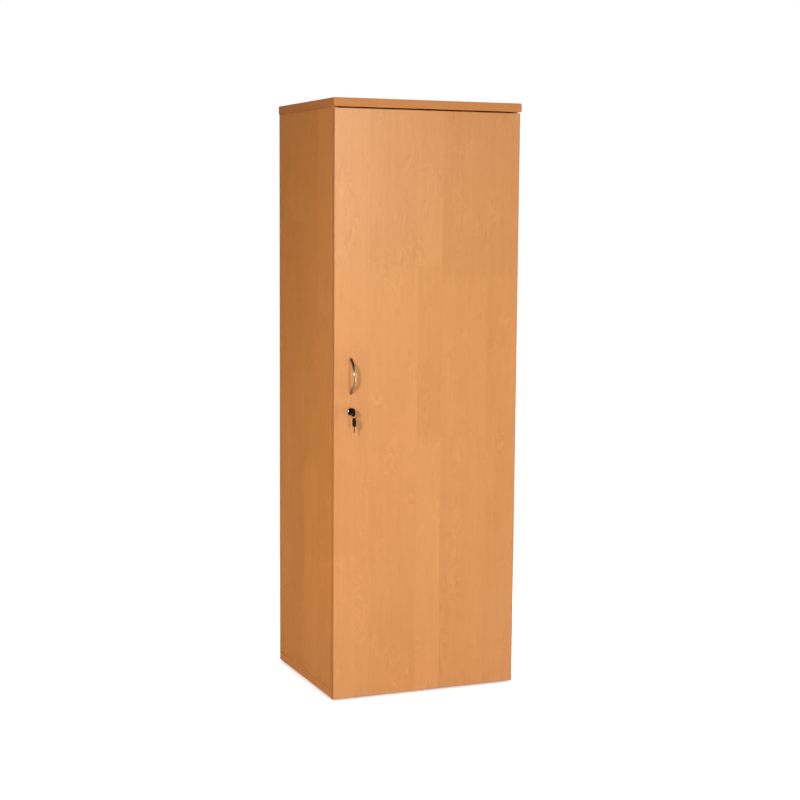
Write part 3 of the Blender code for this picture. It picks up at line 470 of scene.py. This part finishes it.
# how much the marks and lines of a finish show in its tone, its roughness and its relief
metalMarks = dict(size=6.0, tone=0.3, blotch=0.5, line=0.3, lineRough=0.06, blotchRough=0.05, scuffRough=0.12,
                  strength=0.25, bump=0.000004)
plasticMarks = dict(size=5.0, blotch=0.5, scuff=0.5, grainRough=0.06, blotchRough=0.08, strength=0.3, bump=0.00003)
finishes = {}
for name, look in metals.items():
    finishes[name], tree, shader = newMaterial(name)
    spot = objectSpot(tree)
    marks = useGroup(tree, handlingMarks, {"Vector": spot, "Size": metalMarks["size"]})
    line = useGroup(tree, brushLines, {"Vector": spot, "Stretch": look["stretch"]})["Line"]
    tone = calc(tree, "MULTIPLY_ADD", marks["Blotch"], metalMarks["blotch"], metalMarks["tone"])
    tone = calc(tree, "MULTIPLY_ADD", line, metalMarks["line"] * look["lines"], tone)
    colour = mixColours(tree, tone, look["dark"], look["light"])
    rough = calc(tree, "MULTIPLY_ADD", line, metalMarks["lineRough"] * look["lines"], look["rough"])
    rough = calc(tree, "MULTIPLY_ADD", marks["Blotch"], metalMarks["blotchRough"], rough)
    rough = calc(tree, "MULTIPLY_ADD", marks["Scuff"], metalMarks["scuffRough"], rough)
    shader.inputs["Metallic"].default_value = 1.0
    coat(tree, shader, colour, rough, line, metalMarks["strength"] * look["lines"], metalMarks["bump"])
for name, look in plastics.items():
    finishes[name], tree, shader = newMaterial(name)
    spot = objectSpot(tree)
    marks = useGroup(tree, handlingMarks, {"Vector": spot, "Size": plasticMarks["size"]})
    pebble = addNode(tree, "ShaderNodeTexVoronoi", {"Vector": spot, "Scale": look["grain"]}).outputs["Distance"]
    tone = calc(tree, "MULTIPLY", marks["Blotch"], plasticMarks["blotch"])
    tone = calc(tree, "MULTIPLY_ADD", marks["Scuff"], plasticMarks["scuff"], tone)
    colour = mixColours(tree, tone, look["dark"], look["light"])
    rough = calc(tree, "MULTIPLY_ADD", pebble, plasticMarks["grainRough"], look["rough"])
    rough = calc(tree, "MULTIPLY_ADD", marks["Blotch"], plasticMarks["blotchRough"], rough)
    shader.inputs["Specular IOR Level"].default_value = look["gloss"]
    coat(tree, shader, colour, rough, pebble, plasticMarks["strength"], plasticMarks["bump"])

# bare turned beech: pale wood with streaks along the dowel and pores
dowelLook = dict(deep=(196, 150, 104), pale=(224, 184, 138), rough=0.62, streak=0.6, fleck=-0.4, cloudRough=0.05,
                 strength=0.4, bump=0.00005)
material, tree, shader = newMaterial("bareBeech")
spot = objectSpot(tree)
grain = useGroup(tree, beechFigure, {"Vector": spot})
tone = calc(tree, "MULTIPLY_ADD", grain["Fleck"], dowelLook["fleck"], 0.5)
tone = calc(tree, "MULTIPLY_ADD", grain["Streak"], dowelLook["streak"], tone, clamp=True)
colour = mixColours(tree, tone, dowelLook["deep"], dowelLook["pale"])
rough = calc(tree, "MULTIPLY_ADD", grain["Cloud"], dowelLook["cloudRough"], dowelLook["rough"])
coat(tree, shader, colour, rough, grain["Streak"], dowelLook["strength"], dowelLook["bump"])
dress(material, *[name for name in nodes if name.startswith("dowel_")])
dress(finishes["zincPlate"], "lock_cam", *[name for name in nodes if name.startswith("hinge_pin_")])
dress(finishes["darkNickel"], "lock_plug")
print("metal, plastic and bare wood finishes made")

# bow handle: an oval bar carried along a circular arc, R = (c^2 + s^2) / 2s for half chord c and reach s; it swells
# to its feet by a smooth step, and each foot's rings slide along the bar until the last lies in the door's face
bowLook = dict(bar=0.0045, foot=0.0057, across=0.94, deep=0.86, reach=0.0275, halfChord=0.049, flare=0.012,
               mitre=0.016, steep=0.3, rows=141, sides=36)
radius = (bowLook["halfChord"] ** 2 + bowLook["reach"] ** 2) / (2 * bowLook["reach"])
end = math.asin(bowLook["halfChord"] / radius)
t = np.linspace(-end, end, bowLook["rows"])
none, one = 0 * t, 0 * t + 1
path = np.stack([none, radius * (1 - np.cos(t)) - bowLook["reach"], radius * np.sin(t)], 1)
along, lift = np.stack([none, np.sin(t), np.cos(t)], 1), np.stack([none, -np.cos(t), np.sin(t)], 1)
fromEnd = radius * (end - abs(t))
thick = bowLook["bar"] + (bowLook["foot"] - bowLook["bar"]) * smooth(1 - fromEnd / bowLook["flare"])
a = around(bowLook["sides"])
oval = np.stack([bowLook["across"] * np.cos(a), bowLook["deep"] * np.sin(a)], 1)
bar = sweep(path, np.stack([one, none, none], 1), lift, oval, thick)
steep = np.where(abs(along[:, 1]) < bowLook["steep"], 1.0, along[:, 1])  # the middle, nearly upright, doesn't slide
slide = smooth(1 - fromEnd / bowLook["mitre"]) * -thick * lift[:, 1] / steep
bar[1:-1] += (slide[:, None] * oval[:, 1])[..., None] * along[:, None]
handleX, handleZ = middle("bow_handle")[[0, 2]]
parts = [surface(bar + np.array([handleX, doorFace, handleZ]), False, True)]
makePiece("bowHandle", parts, "satinNickel", "door", "bow_handle")

handleScrew = dict(radius=0.004, height=0.0022, shank=0.002, length=0.021, spacing=0.096)
for level, sign in (("upper", 1), ("lower", -1)):
    screw = crossScrew(*[handleScrew[k] for k in ("radius", "height", "shank", "length")])
    spot = (handleX, doorBack + seat, handleZ + sign * handleScrew["spacing"] / 2)
    makePiece(level + "HandleScrew", placed([screw], spot, toBack, toTop), "zincPlate", "door",
              "handle_screw_" + level)
print("bow handle made")

# cam lock: dished bezel, threaded barrel, chamfered nut and cam screw
lockLook = dict(bezel=0.0115, rise=0.004, dish=0.0008, bore=0.0062, lip=0.0014, slope=0.0022, shoulder=0.0017,
                softness=(0.0003, 0.0005, 0.0007, 0.0009), barrel=0.0089, tail=0.025, thread=0.017, pitch=0.001,
                depth=0.0004, rows=181, nut=0.013, nutThick=0.004, nutBore=0.0092, nutFace=1.03, chamfer=0.0011)
lockX, lockZ = middle("lock_housing")[[0, 2]]
bore, top, edge = lockLook["bore"], lockLook["rise"], lockLook["bezel"]
dished = top - lockLook["dish"]
bezel = [(bore, seat), (bore, dished), (bore + lockLook["lip"], dished), (edge - lockLook["slope"], top),
         (edge, top - lockLook["shoulder"]), (edge, seat)]
bezel = np.concatenate([rounded(bezel, lockLook["softness"]), bezel[:1]])
h = np.linspace(seat, -lockLook["tail"], lockLook["rows"])
tooth = abs((h / lockLook["pitch"]) % 1 - 0.5) * 2 * (h < -lockLook["thread"])  # triangular thread
barrel = np.stack([lockLook["barrel"] - lockLook["depth"] * tooth, h], 1)
barrel = np.concatenate([[(bore, seat)], barrel, [(bore, -lockLook["tail"]), (bore, seat)]])
parts = placed([lathe(bezel, 72), lathe(barrel, 48)], (lockX, doorFace, lockZ), toFront, toTop)
makePiece("lockHousing", parts, "darkNickel", "door", "lock_housing")

a = around(72)
apothem, deep = lockLook["nut"] * math.cos(math.pi / 6), lockLook["nutThick"]
hexagon = apothem / np.cos(a % (np.pi / 3) - np.pi / 6)  # distance to a hexagon's side at each angle
corner, hole = np.minimum(hexagon, apothem * lockLook["nutFace"]), lockLook["nutBore"] + 0 * a
rings = [(hole, 0), (hole, deep), (corner, deep), (hexagon, deep - lockLook["chamfer"]),
         (hexagon, lockLook["chamfer"]), (corner, 0)]
nut = np.stack([np.stack([r * np.cos(a), r * np.sin(a), z + 0 * a], 1) for r, z in rings])
parts = placed([surface(nut, True, True)], (lockX, doorBack + seat, lockZ), toBack, toTop)
makePiece("lockNut", parts, "zincPlate", "door", "lock_nut", sharp=25.0)

camScrew = dict(radius=0.0045, height=0.002, shank=0.0015, length=0.005)
spot = (lockX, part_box("cam_screw")[1].y - camScrew["height"], lockZ)
makePiece("camScrew", placed([crossScrew(*camScrew.values())], spot, toBack, toTop), "zincPlate", "lock_plug",
          "cam_screw")
print("cam lock made")

# keys: local X runs from the ring hole to the tip, local Z across the plate
keyLook = dict(length=0.027, width=0.025, half=0.0018, hole=0.0025, holeEdge=0.0055, squareness=(2.0, 4.0),
               headRows=44, blade=0.0195, bladeHalf=0.00325, bladeThick=0.0009, tang=0.006, groove=0.00038,
               bevel=0.0002, tipHalf=0.0005, tipRun=0.0016, tipThin=0.25, notches=(0.0008, 0.0016, 0.0005, 0.0013),
               bladeRows=160)
thumbLook = dict(shift=0.002, halfLength=0.0085, halfWidth=0.0095, depth=0.3, slope=0.35, eye=0.0047, eyeSlope=0.0008,
                 rim=0.12, field=0.94)
headEnd = keyLook["length"] - keyLook["holeEdge"]
centre = headEnd - keyLook["length"] / 2
a = around(96)
power = 2 / np.where(np.cos(a) < 0, *keyLook["squareness"])  # rounder at the ring, squarer at the blade
alongHead, acrossHead = squircle(a, power)
outline = np.stack([centre + keyLook["length"] / 2 * alongHead, keyLook["width"] / 2 * acrossHead], 1)
holeLine = keyLook["hole"] * np.stack([np.cos(a), np.sin(a)], 1)


def headHeights(s, x, y):  # rounded rim, a shallow oval thumb recess and a raised eye round the hole
    oval = 1 - ((x - centre - thumbLook["shift"]) / thumbLook["halfLength"]) ** 2 - (y / thumbLook["halfWidth"]) ** 2
    eye = smooth((thumbLook["eye"] - np.hypot(x, y)) / thumbLook["eyeSlope"])
    recess = 1 - thumbLook["depth"] * smooth(oval / thumbLook["slope"]) * (1 - eye)
    return keyLook["half"] * rim(s, thumbLook["rim"]) * recess * (thumbLook["field"] + (1 - thumbLook["field"]) * eye)


head = ringPlate(outline, holeLine, keyLook["headRows"], headHeights)
tip = headEnd + keyLook["blade"]
x = np.linspace(headEnd - keyLook["tang"], tip, keyLook["bladeRows"])
wide, step = keyLook["bladeHalf"], keyLook["blade"] / (len(keyLook["notches"]) + 2)
cutX, cutY = [headEnd - keyLook["tang"], headEnd + step / 2], [wide, wide]
for index, depth in enumerate(keyLook["notches"]):
    cutX += [headEnd + step * (index + 1), headEnd + step * (index + 1.5)]
    cutY += [wide - depth] * 2
upper = np.interp(x, cutX + [tip - wide / 2, tip], cutY + [wide / 2, keyLook["tipHalf"]])[:, None]
lower = np.interp(x, [tip - wide, tip], [-wide, -keyLook["tipHalf"]])[:, None]
groove = keyLook["groove"]
face = np.array([(-1, keyLook["bevel"]), (-0.94, 0), (-0.42, 0), (-0.36, groove), (0.06, groove), (0.12, 0), (0.4, 0),
                 (1, 0)])  # places across one face and how deep each is cut, with one milled groove
faceY, faceZ = face[:, 0] * wide, keyLook["bladeThick"] - face[:, 1]
section = np.stack([np.concatenate([faceY, faceY[::-1]]), np.concatenate([faceZ, -faceZ[::-1]])])
crossY = lower + (section[0] / wide + 1) / 2 * (upper - lower)
thin = np.clip((tip - x) / keyLook["tipRun"], keyLook["tipThin"], 1)[:, None]
blade = np.dstack([x[:, None] + 0 * crossY, crossY, thin * section[1]])
ends = [np.broadcast_to(np.array([x[i], crossY[i].mean(), 0]), (1, crossY.shape[1], 3)) for i in (0, -1)]
blade = surface(np.concatenate([ends[0], blade, ends[1]]), False, True)
ringMiddle = middle("key_ring")
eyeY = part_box("key_head")[0].y + keyLook["holeEdge"]
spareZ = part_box("spare_key_head")[1].z - keyLook["holeEdge"]
keySpots = {
    "key": dict(spot=(lockX, eyeY, lockZ), upward=toBack, body="key", cad=""),
    "spareKey": dict(spot=(lockX, ringMiddle[1], spareZ), upward=(0, 0, -1), body="spare_key", cad="spare_"),
}
for name, key in keySpots.items():
    makePiece(name + "Head", placed([head], key["spot"], toRight, key["upward"]), "blackPlastic", key["body"],
              key["cad"] + "key_head", sharp=50.0)
    makePiece(name + "Blade", placed([blade], key["spot"], toRight, key["upward"]), "keySteel", key["body"],
              key["cad"] + "key_blade", sharp=30.0)

# split ring: a flat wire wound twice, R (sin a, cos a) in XZ, crossing from one layer to the other beside its ends
ringLook = dict(radius=0.0085, radial=0.0005, axial=0.0003, layer=0.00034, start=120.0, sweep=660.0, crossAt=0.47,
                crossRun=0.06, power=0.6, rows=281, sides=16)
q = np.linspace(0, 1, ringLook["rows"])
a = np.radians(ringLook["start"] + q * ringLook["sweep"])
out = np.stack([np.sin(a), 0 * a, np.cos(a)], 1)
layer = ringLook["layer"] * (2 * smooth((q - ringLook["crossAt"]) / ringLook["crossRun"]) - 1)
path = ringLook["radius"] * out + np.stack([0 * a, layer, 0 * a], 1)
wire = squircle(around(ringLook["sides"]), ringLook["power"])
wire = [ringLook["radial"] * wire[0], ringLook["axial"] * wire[1]]
coil = sweep(path, out, np.broadcast_to((0.0, 1.0, 0.0), out.shape), np.stack(wire, 1), 0 * q + 1)
makePiece("splitRing", [surface(coil + ringMiddle, False, True)], "keySteel", "key_ring", "key_ring")
print("keys and ring made")

# concealed hinges: drawn cup with a winged flange, bent arm with its eye and two screws, plate on the side
hingeLook = dict(cup=0.0175, wall=0.0012, depth=0.0135, floor=0.001, rimTop=0.0008,
                 cupSoft=(0.002, 0.0003, 0.0003, 0.0015), flange=0.0012, flangeRim=0.1, flangeRows=14, lip=0.0012,
                 blend=14, wingHalf=0.031, wingNear=0.001, wingFar=0.013, cupScrew=0.0245, armThick=0.002,
                 armHalf=0.0045, armReach=0.0145, armLength=0.075, armBend=0.0045, eye=0.00255, eyeBore=0.0014,
                 eyeShare=0.8, screwHead=(0.0033, 0.0014, 0.0014, 0.006), armScrews=(0.052, 0.067),
                 plateHalf=0.007, plateStep=0.002, plateWing=0.009, plateScrew=0.0195)
a, blend = around(120), hingeLook["blend"]
# from the cup's middle to the wing's sides, blended with the round flange as (wing^n + round^n)^(1/n)
across = np.where(np.cos(a) > 0, hingeLook["wingNear"], hingeLook["wingFar"]) / np.maximum(abs(np.cos(a)), 1e-6)
reach = np.minimum(across, hingeLook["wingHalf"] / np.maximum(abs(np.sin(a)), 1e-6))
reach = (reach ** blend + (hingeLook["cup"] + hingeLook["lip"]) ** blend) ** (1 / blend)
compass = np.stack([np.cos(a), np.sin(a)], 1)
cup, half = hingeLook["cup"], hingeLook["flange"] / 2
inner = cup - hingeLook["wall"]
flange = ringPlate(reach[:, None] * compass, inner * compass, hingeLook["flangeRows"],
                   lambda s, x, y: half * rim(s, hingeLook["flangeRim"]))
flange = flange[0] + (0, 0, half + seat), flange[1]
under, over = -hingeLook["depth"], hingeLook["floor"] - hingeLook["depth"]
well = [(0, under), (cup, under), (cup, hingeLook["rimTop"]), (inner, hingeLook["rimTop"]), (inner, over), (0, over)]
cupParts = [flange, lathe(rounded(well, hingeLook["cupSoft"]), 72)]
bend = [(-hingeLook["eye"] * hingeLook["eyeShare"], 0), (-hingeLook["armReach"], 0),
        (-hingeLook["armReach"], hingeLook["armLength"])]
bend = rounded(bend, hingeLook["armBend"], 10)
armHalf, eyeOut, eyeIn = hingeLook["armHalf"], hingeLook["eye"], hingeLook["eyeBore"]
armParts = strip(bend, hingeLook["armThick"], -armHalf, armHalf)
eye = [(eyeIn, armHalf), (eyeOut, armHalf), (eyeOut, -armHalf), (eyeIn, -armHalf)]
armParts += [lathe(eye + eye[:1], 28)]
screw = crossScrew(*hingeLook["screwHead"])
for number in range(1, 5):
    cupHigh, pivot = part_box("hinge_cup_%d" % number)[1], middle("hinge_pin_%d" % number)
    cupX, z = cupHigh.x - cup, pivot[2]
    parts = placed(cupParts, (cupX, doorBack, z), toBack, toRight)
    wingX = cupX + (hingeLook["wingNear"] - hingeLook["wingFar"]) / 2
    for sign in (-1, 1):
        parts += placed([screw], (wingX, cupHigh.y, z + sign * hingeLook["cupScrew"]), toBack, toTop)
    makePiece("hingeCup%d" % number, parts, "zincPlate", "door", "hinge_cup_%d" % number, sharp=30.0)
    parts = placed(armParts, pivot, toTop, toRight)
    armFace = pivot[0] - hingeLook["armReach"] - hingeLook["armThick"] / 2
    for back in hingeLook["armScrews"]:
        parts += placed([screw], (armFace, pivot[1] + back, z), toLeft, toTop)
    makePiece("hingeArm%d" % number, parts, "zincPlate", "carcass", "hinge_arm_%d" % number, sharp=35.0, bevel=0.0004)
    low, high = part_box("hinge_plate_%d" % number)
    wingLow, plateY = low.x + hingeLook["plateStep"], middle("hinge_plate_%d" % number)[1]
    body = np.array([((low.x + high.x) / 2, y) for y in (low.y, high.y)])
    wing = np.array([((wingLow + high.x) / 2, plateY + y) for y in (-hingeLook["plateWing"], hingeLook["plateWing"])])
    parts = strip(body, high.x - low.x, z - hingeLook["plateHalf"], z + hingeLook["plateHalf"])
    parts += strip(wing, high.x - wingLow, low.z, high.z)
    for sign in (-1, 1):
        parts += placed([screw], (wingLow, plateY, z + sign * hingeLook["plateScrew"]), toLeft, toTop)
    makePiece("hingePlate%d" % number, parts, "zincPlate", "carcass", "hinge_plate_%d" % number, sharp=35.0,
              bevel=0.0006)
print("four hinges made")

# strike angle on the lock side, with its two screws
strikeLook = dict(thick=0.002, bend=0.004, screwGap=0.0001, screwHead=(0.003, 0.0012, 0.0015, 0.012))
low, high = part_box("strike_plate")
inset = strikeLook["thick"] / 2
legs = [(high.x, low.y + inset), (low.x + inset, low.y + inset), (low.x + inset, high.y)]
legs = rounded(legs, strikeLook["bend"], 9)
makePiece("strikeAngle", strip(legs, strikeLook["thick"], low.z, high.z), "zincPlate", "carcass", "strike_plate",
          sharp=35.0, bevel=0.0004)
for level in ("upper", "lower"):
    spot = middle("strike_screw_" + level)
    spot[0] = low.x + strikeLook["thick"] + strikeLook["screwGap"]
    makePiece(level + "StrikeScrew", placed([crossScrew(*strikeLook["screwHead"])], spot, toRight, toTop),
              "zincPlate", "carcass", "strike_screw_" + level)

# hanging rail: a drawn tube in two flanged sockets
railLook = dict(radius=0.0125, wall=0.0012, softness=0.0004, flange=0.021, flangeThick=0.003, flangeEdge=0.0018,
                collarOut=0.0148, collarIn=0.0128, collarTop=0.017, screwAt=0.0178, screwSeat=0.0022,
                socketSoft=(0.0004, 0.0006, 0.0008, 0.0012, 0.0012, 0.0003), screwHead=(0.0024, 0.001, 0.0012, 0.012))
low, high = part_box("hanging_rail")
half, outer = (high.x - low.x) / 2, railLook["radius"]
inner = outer - railLook["wall"]
tube = [(inner, half), (outer, half), (outer, -half), (inner, -half), (inner, half)]
tube = lathe(rounded(tube, railLook["softness"]), 72)
makePiece("hangingRail", placed([tube], middle("hanging_rail"), toRight, toTop), "chromePlate", "carcass",
          "hanging_rail")
thick, top = railLook["flangeThick"], railLook["collarTop"]
socket = [(0, thick), (railLook["collarIn"], thick), (railLook["collarIn"], top), (railLook["collarOut"], top),
          (railLook["collarOut"], thick), (railLook["flange"], railLook["flangeEdge"]), (railLook["flange"], 0),
          (0, 0)]
socket = lathe(rounded(socket, railLook["socketSoft"]), 72)
for side, inward in (("left", toRight), ("right", toLeft)):
    low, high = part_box("rail_socket_" + side)
    spot = middle("rail_socket_" + side)
    spot[0] = low.x if side == "left" else high.x
    parts = placed([socket], spot, inward, toTop)
    for sign in (-1, 1):
        at = spot + np.array(inward) * railLook["screwSeat"] + (0, 0, sign * railLook["screwAt"])
        parts += placed([crossScrew(*railLook["screwHead"])], at, inward, toTop)
    makePiece(side + "RailSocket", parts, "chromePlate", "carcass", "rail_socket_" + side)

# shelf pins, glides and door bumpers are turned pieces
pinLook = dict(collar=0.0035, collarLength=0.010, peg=0.0025, pegLength=0.009,
               softness=(0.001, 0.0005, 0.0002, 0.0006))
collar, peg, length = pinLook["collar"], pinLook["peg"], pinLook["collarLength"]
pin = [(0, length), (collar, length), (collar, 0), (peg, 0), (peg, -pinLook["pegLength"]), (0, -pinLook["pegLength"])]
pin = lathe(rounded(pin, pinLook["softness"]), 36)
for side, inward in (("left", toRight), ("right", toLeft)):
    for depth in ("front", "back"):
        name = "shelf_pin_%s_%s" % (side, depth)
        low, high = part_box(name)
        spot = middle(name)
        spot[0] = high.x - length if side == "left" else low.x + length
        makePiece("shelfPin" + side.title() + depth.title(), placed([pin], spot, inward, toTop), "zincPlate",
                  "carcass", name)
glideLook = dict(radius=0.014, height=0.005, nail=0.0015, nailLength=0.015, shoulder=0.0026, taper=0.0026,
                 softness=(0.0003, 0.0003, 0.0008, 0.0012, 0.0014))
radius, height, nail = [glideLook[k] for k in ("radius", "height", "nail")]
glide = [(0, glideLook["nailLength"]), (nail, glideLook["nailLength"]), (nail, -seat), (radius, -seat),
         (radius, -glideLook["shoulder"]), (radius - glideLook["taper"], -height), (0, -height)]
glide = lathe(rounded(glide, glideLook["softness"]), 64)
for name in [name for name in nodes if name.startswith("glide_")]:
    spot = middle(name)
    spot[2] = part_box(name)[0].z + height
    label = "".join([word.title() for word in name.split("_")[1:]])
    makePiece("glide" + label, placed([glide], spot, toTop, toRight), "palePlastic", "carcass", name)
bumperLook = dict(radius=0.005, height=0.0024, topShare=0.96, softness=(0.002, 0.0003))
radius, height = bumperLook["radius"], bumperLook["height"]
bumper = [(0, height), (radius * bumperLook["topShare"], height), (radius, 0), (0, 0)]
bumper = lathe(rounded(bumper, bumperLook["softness"], 8), 40)
for level in ("upper", "lower"):
    spot = middle("door_bumper_" + level)
    spot[1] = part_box("door_bumper_" + level)[0].y
    makePiece(level + "DoorBumper", placed([bumper], spot, toBack, toTop), "palePlastic", "door",
              "door_bumper_" + level)
print("strike, rail, pins, glides and bumpers made")


# camera: the photo's view, as right, up and back axes
cameraLook = dict(place=(-1.9956, -4.8123, 1.4526), yaw=-22.603, pitch=-6.904, roll=0.432, lens=75.57,
                  sensor=36.0, shift=(0.0, 0.02))
yaw, pitch, roll = [math.radians(cameraLook[k]) for k in ("yaw", "pitch", "roll")]
ahead = np.array([-math.sin(yaw) * math.cos(pitch), math.cos(yaw) * math.cos(pitch), math.sin(pitch)])
right = np.array([math.cos(yaw), math.sin(yaw), 0.0])
above = np.cross(right, ahead)
right, above = math.cos(roll) * right + math.sin(roll) * above, math.cos(roll) * above - math.sin(roll) * right


def setPlace(thing, x, y, z, place):  # axes as columns, then the place
    turned = np.identity(4)
    turned[:3] = np.stack([x, y, z, place], 1)
    thing.matrix_world = Matrix(turned.tolist())
    scene.collection.objects.link(thing)


cameraData = bpy.data.cameras.new("photoCamera")
cameraData.lens, cameraData.sensor_width = cameraLook["lens"], cameraLook["sensor"]
cameraData.shift_x, cameraData.shift_y = cameraLook["shift"]
scene.camera = bpy.data.objects.new("photoCamera", cameraData)
setPlace(scene.camera, right, above, -ahead, cameraLook["place"])

# light: two small lamps, left of the door and nearly in front, soft low ones at right and left, and soft ones for the
# right side and the back, which the photo's view doesn't meet
lampAim = np.array((0.0, doorFace, 0.95))
lamps = {
    "keyLamp": dict(azimuth=-47.0, elevation=13.0, distance=2.6, size=0.10, power=29.5),
    "frontLamp": dict(azimuth=8.0, elevation=12.0, distance=5.0, size=0.16, power=71.0),
    "footLamp": dict(azimuth=68.0, elevation=-17.0, distance=2.6, size=1.4, power=31.0),
    "leftLamp": dict(azimuth=-88.0, elevation=-24.0, distance=1.8, size=1.0, power=7.7),
    "rightLamp": dict(azimuth=97.0, elevation=4.0, distance=3.2, size=1.6, power=36.0),
    "rearLamp": dict(azimuth=180.0, elevation=36.0, distance=3.8, size=1.8, power=80.0),
}
for name, lamp in lamps.items():
    a, e = math.radians(lamp["azimuth"]), math.radians(lamp["elevation"])
    toward = np.array([math.sin(a) * math.cos(e), -math.cos(a) * math.cos(e), math.sin(e)])
    data = bpy.data.lights.new(name, "AREA")
    data.shape, data.size, data.energy = "DISK", lamp["size"], lamp["power"]
    across = np.cross((0, 0, 1), toward) / np.linalg.norm(np.cross((0, 0, 1), toward))
    holder = bpy.data.objects.new(name, data)
    holder.visible_camera = False
    setPlace(holder, across, np.cross(toward, across), toward, lampAim + lamp["distance"] * toward)

roomLook = dict(ambient=0.175, seen=1.0, floorSize=30.0, floorColour=(236, 236, 234), floorRough=0.9, floorGlow=0.76,
                contactGlow=0.45, contact=0.09, contactRange=(0.4, 1.0), contactSamples=12, clear=(1.1, 2.2))
world = bpy.data.worlds.new("paleRoom")
scene.world = world
world.use_nodes = True
tree = world.node_tree


def seenDirectly(tree):  # 1 for rays from the camera, from a mirror or through glass
    path = addNode(tree, "ShaderNodeLightPath").outputs
    seen = calc(tree, "MAXIMUM", path["Is Camera Ray"], path["Is Glossy Ray"])
    return calc(tree, "MAXIMUM", seen, path["Is Transmission Ray"])


room = tree.nodes["Background"]
room.inputs["Color"].default_value = (1.0, 1.0, 1.0, 1.0)
brightness = addNode(tree, "ShaderNodeMapRange", {"Value": seenDirectly(tree), "To Min": roomLook["ambient"],
                                                 "To Max": roomLook["seen"]}).outputs[0]
tree.links.new(brightness, room.inputs["Strength"])


def stageSheet(name, xs, ys, place, x, y):  # a flat sheet of the studio
    gridX, gridY = np.meshgrid(xs, ys, indexing="ij")
    points, faces = surface(np.stack([gridX, gridY, 0 * gridX], -1))
    mesh = bpy.data.meshes.new(name)
    mesh.from_pydata(points.tolist(), [], faces.tolist())
    material, tree, shader = newMaterial(name)
    mesh.materials.append(material)
    sheet = bpy.data.objects.new(name, mesh)
    setPlace(sheet, x, y, np.cross(x, y), place)
    return sheet, tree, shader


line = np.linspace(-0.5, 0.5, 3) * roomLook["floorSize"]
sheet, tree, shader = stageSheet("studioFloor", line, line, (0, 0, 0), (1, 0, 0), (0, 1, 0))
shader.inputs["Base Color"].default_value = srgb(*roomLook["floorColour"])
shader.inputs["Roughness"].default_value = roomLook["floorRough"]
shader.inputs["Specular IOR Level"].default_value = 0.0
spot = objectSpot(tree)
away = addNode(tree, "ShaderNodeVectorMath", {0: spot}, operation="LENGTH").outputs["Value"]
seen = seenDirectly(tree)
# painted contact shadow: the floor's glow drops from floorGlow to contactGlow where the object stands close
contact = addNode(tree, "ShaderNodeAmbientOcclusion", {"Distance": roomLook["contact"]},
                  samples=roomLook["contactSamples"]).outputs["AO"]
strength = ramp(tree, contact, *roomLook["contactRange"], roomLook["contactGlow"], roomLook["floorGlow"])
glow = addNode(tree, "ShaderNodeEmission", {"Strength": calc(tree, "MULTIPLY", seen, strength)}).outputs[0]
near = addNode(tree, "ShaderNodeAddShader", {0: shader.outputs[0], 1: glow}).outputs[0]
far = addNode(tree, "ShaderNodeEmission", {"Strength": 1.0}).outputs[0]  # white where it is seen far from the object
fade = calc(tree, "MULTIPLY", seen, ramp(tree, away, *roomLook["clear"]))
mixed = addNode(tree, "ShaderNodeMixShader", {0: fade, 1: near, 2: far}).outputs[0]
tree.links.new(mixed, tree.nodes["Material Output"].inputs["Surface"])

# glowing cards of the studio that show only in gloss, painted reflections: dark ones overhead, behind on the left, on
# the floor there, and in front, far; a warm brown one near and a beige one at the foot
cards = {
    "overheadCard": dict(size=(6.0, 6.0), place=(0.2, -2.2, 2.9), x=(1, 0, 0), y=(0, 1, 0), tone=(56, 38, 22)),
    "sideCard": dict(size=(5.0, 4.0), place=(-1.3, 2.0, 1.4), x=(0.92, 0.38, 0), y=(0, 0, 1), tone=(36, 30, 26)),
    "floorCard": dict(size=(3.2, 4.6), place=(-1.9, 0.9, 0.002), x=(1, 0, 0), y=(0, 1, 0), tone=(60, 48, 38)),
    "frontCard": dict(size=(9.0, 4.4), place=(2.2, -6.2, 2.2), x=(0.92, 0.38, 0), y=(0, 0, 1), tone=(60, 46, 36)),
    "nearCard": dict(size=(5.0, 4.4), place=(1.0, -3.8, 0.003), x=(1, 0, 0), y=(0, 1, 0), tone=(190, 125, 75)),
    "footCard": dict(size=(4.0, 1.3), place=(1.0, -0.93, 0.003), x=(1, 0, 0), y=(0, 1, 0), tone=(236, 206, 166)),
}
for name, card in cards.items():
    lines = [np.array([-0.5, 0.5]) * size for size in card["size"]]
    sheet, tree, shader = stageSheet(name, *lines, card["place"], card["x"], card["y"])
    shader.inputs["Base Color"].default_value = (0.0, 0.0, 0.0, 1.0)
    shader.inputs["Specular IOR Level"].default_value = 0.0
    # painted reflection: each card glows in its tone and is seen only by rays off a glossy surface
    shader.inputs["Emission Color"].default_value = srgb(*card["tone"])
    shader.inputs["Emission Strength"].default_value = 1.0
    sheet.visible_camera = sheet.visible_diffuse = sheet.visible_shadow = False
    sheet.visible_transmission = sheet.visible_volume_scatter = False
scene.view_settings.view_transform = "Standard"
print("camera, lamps and floor set")
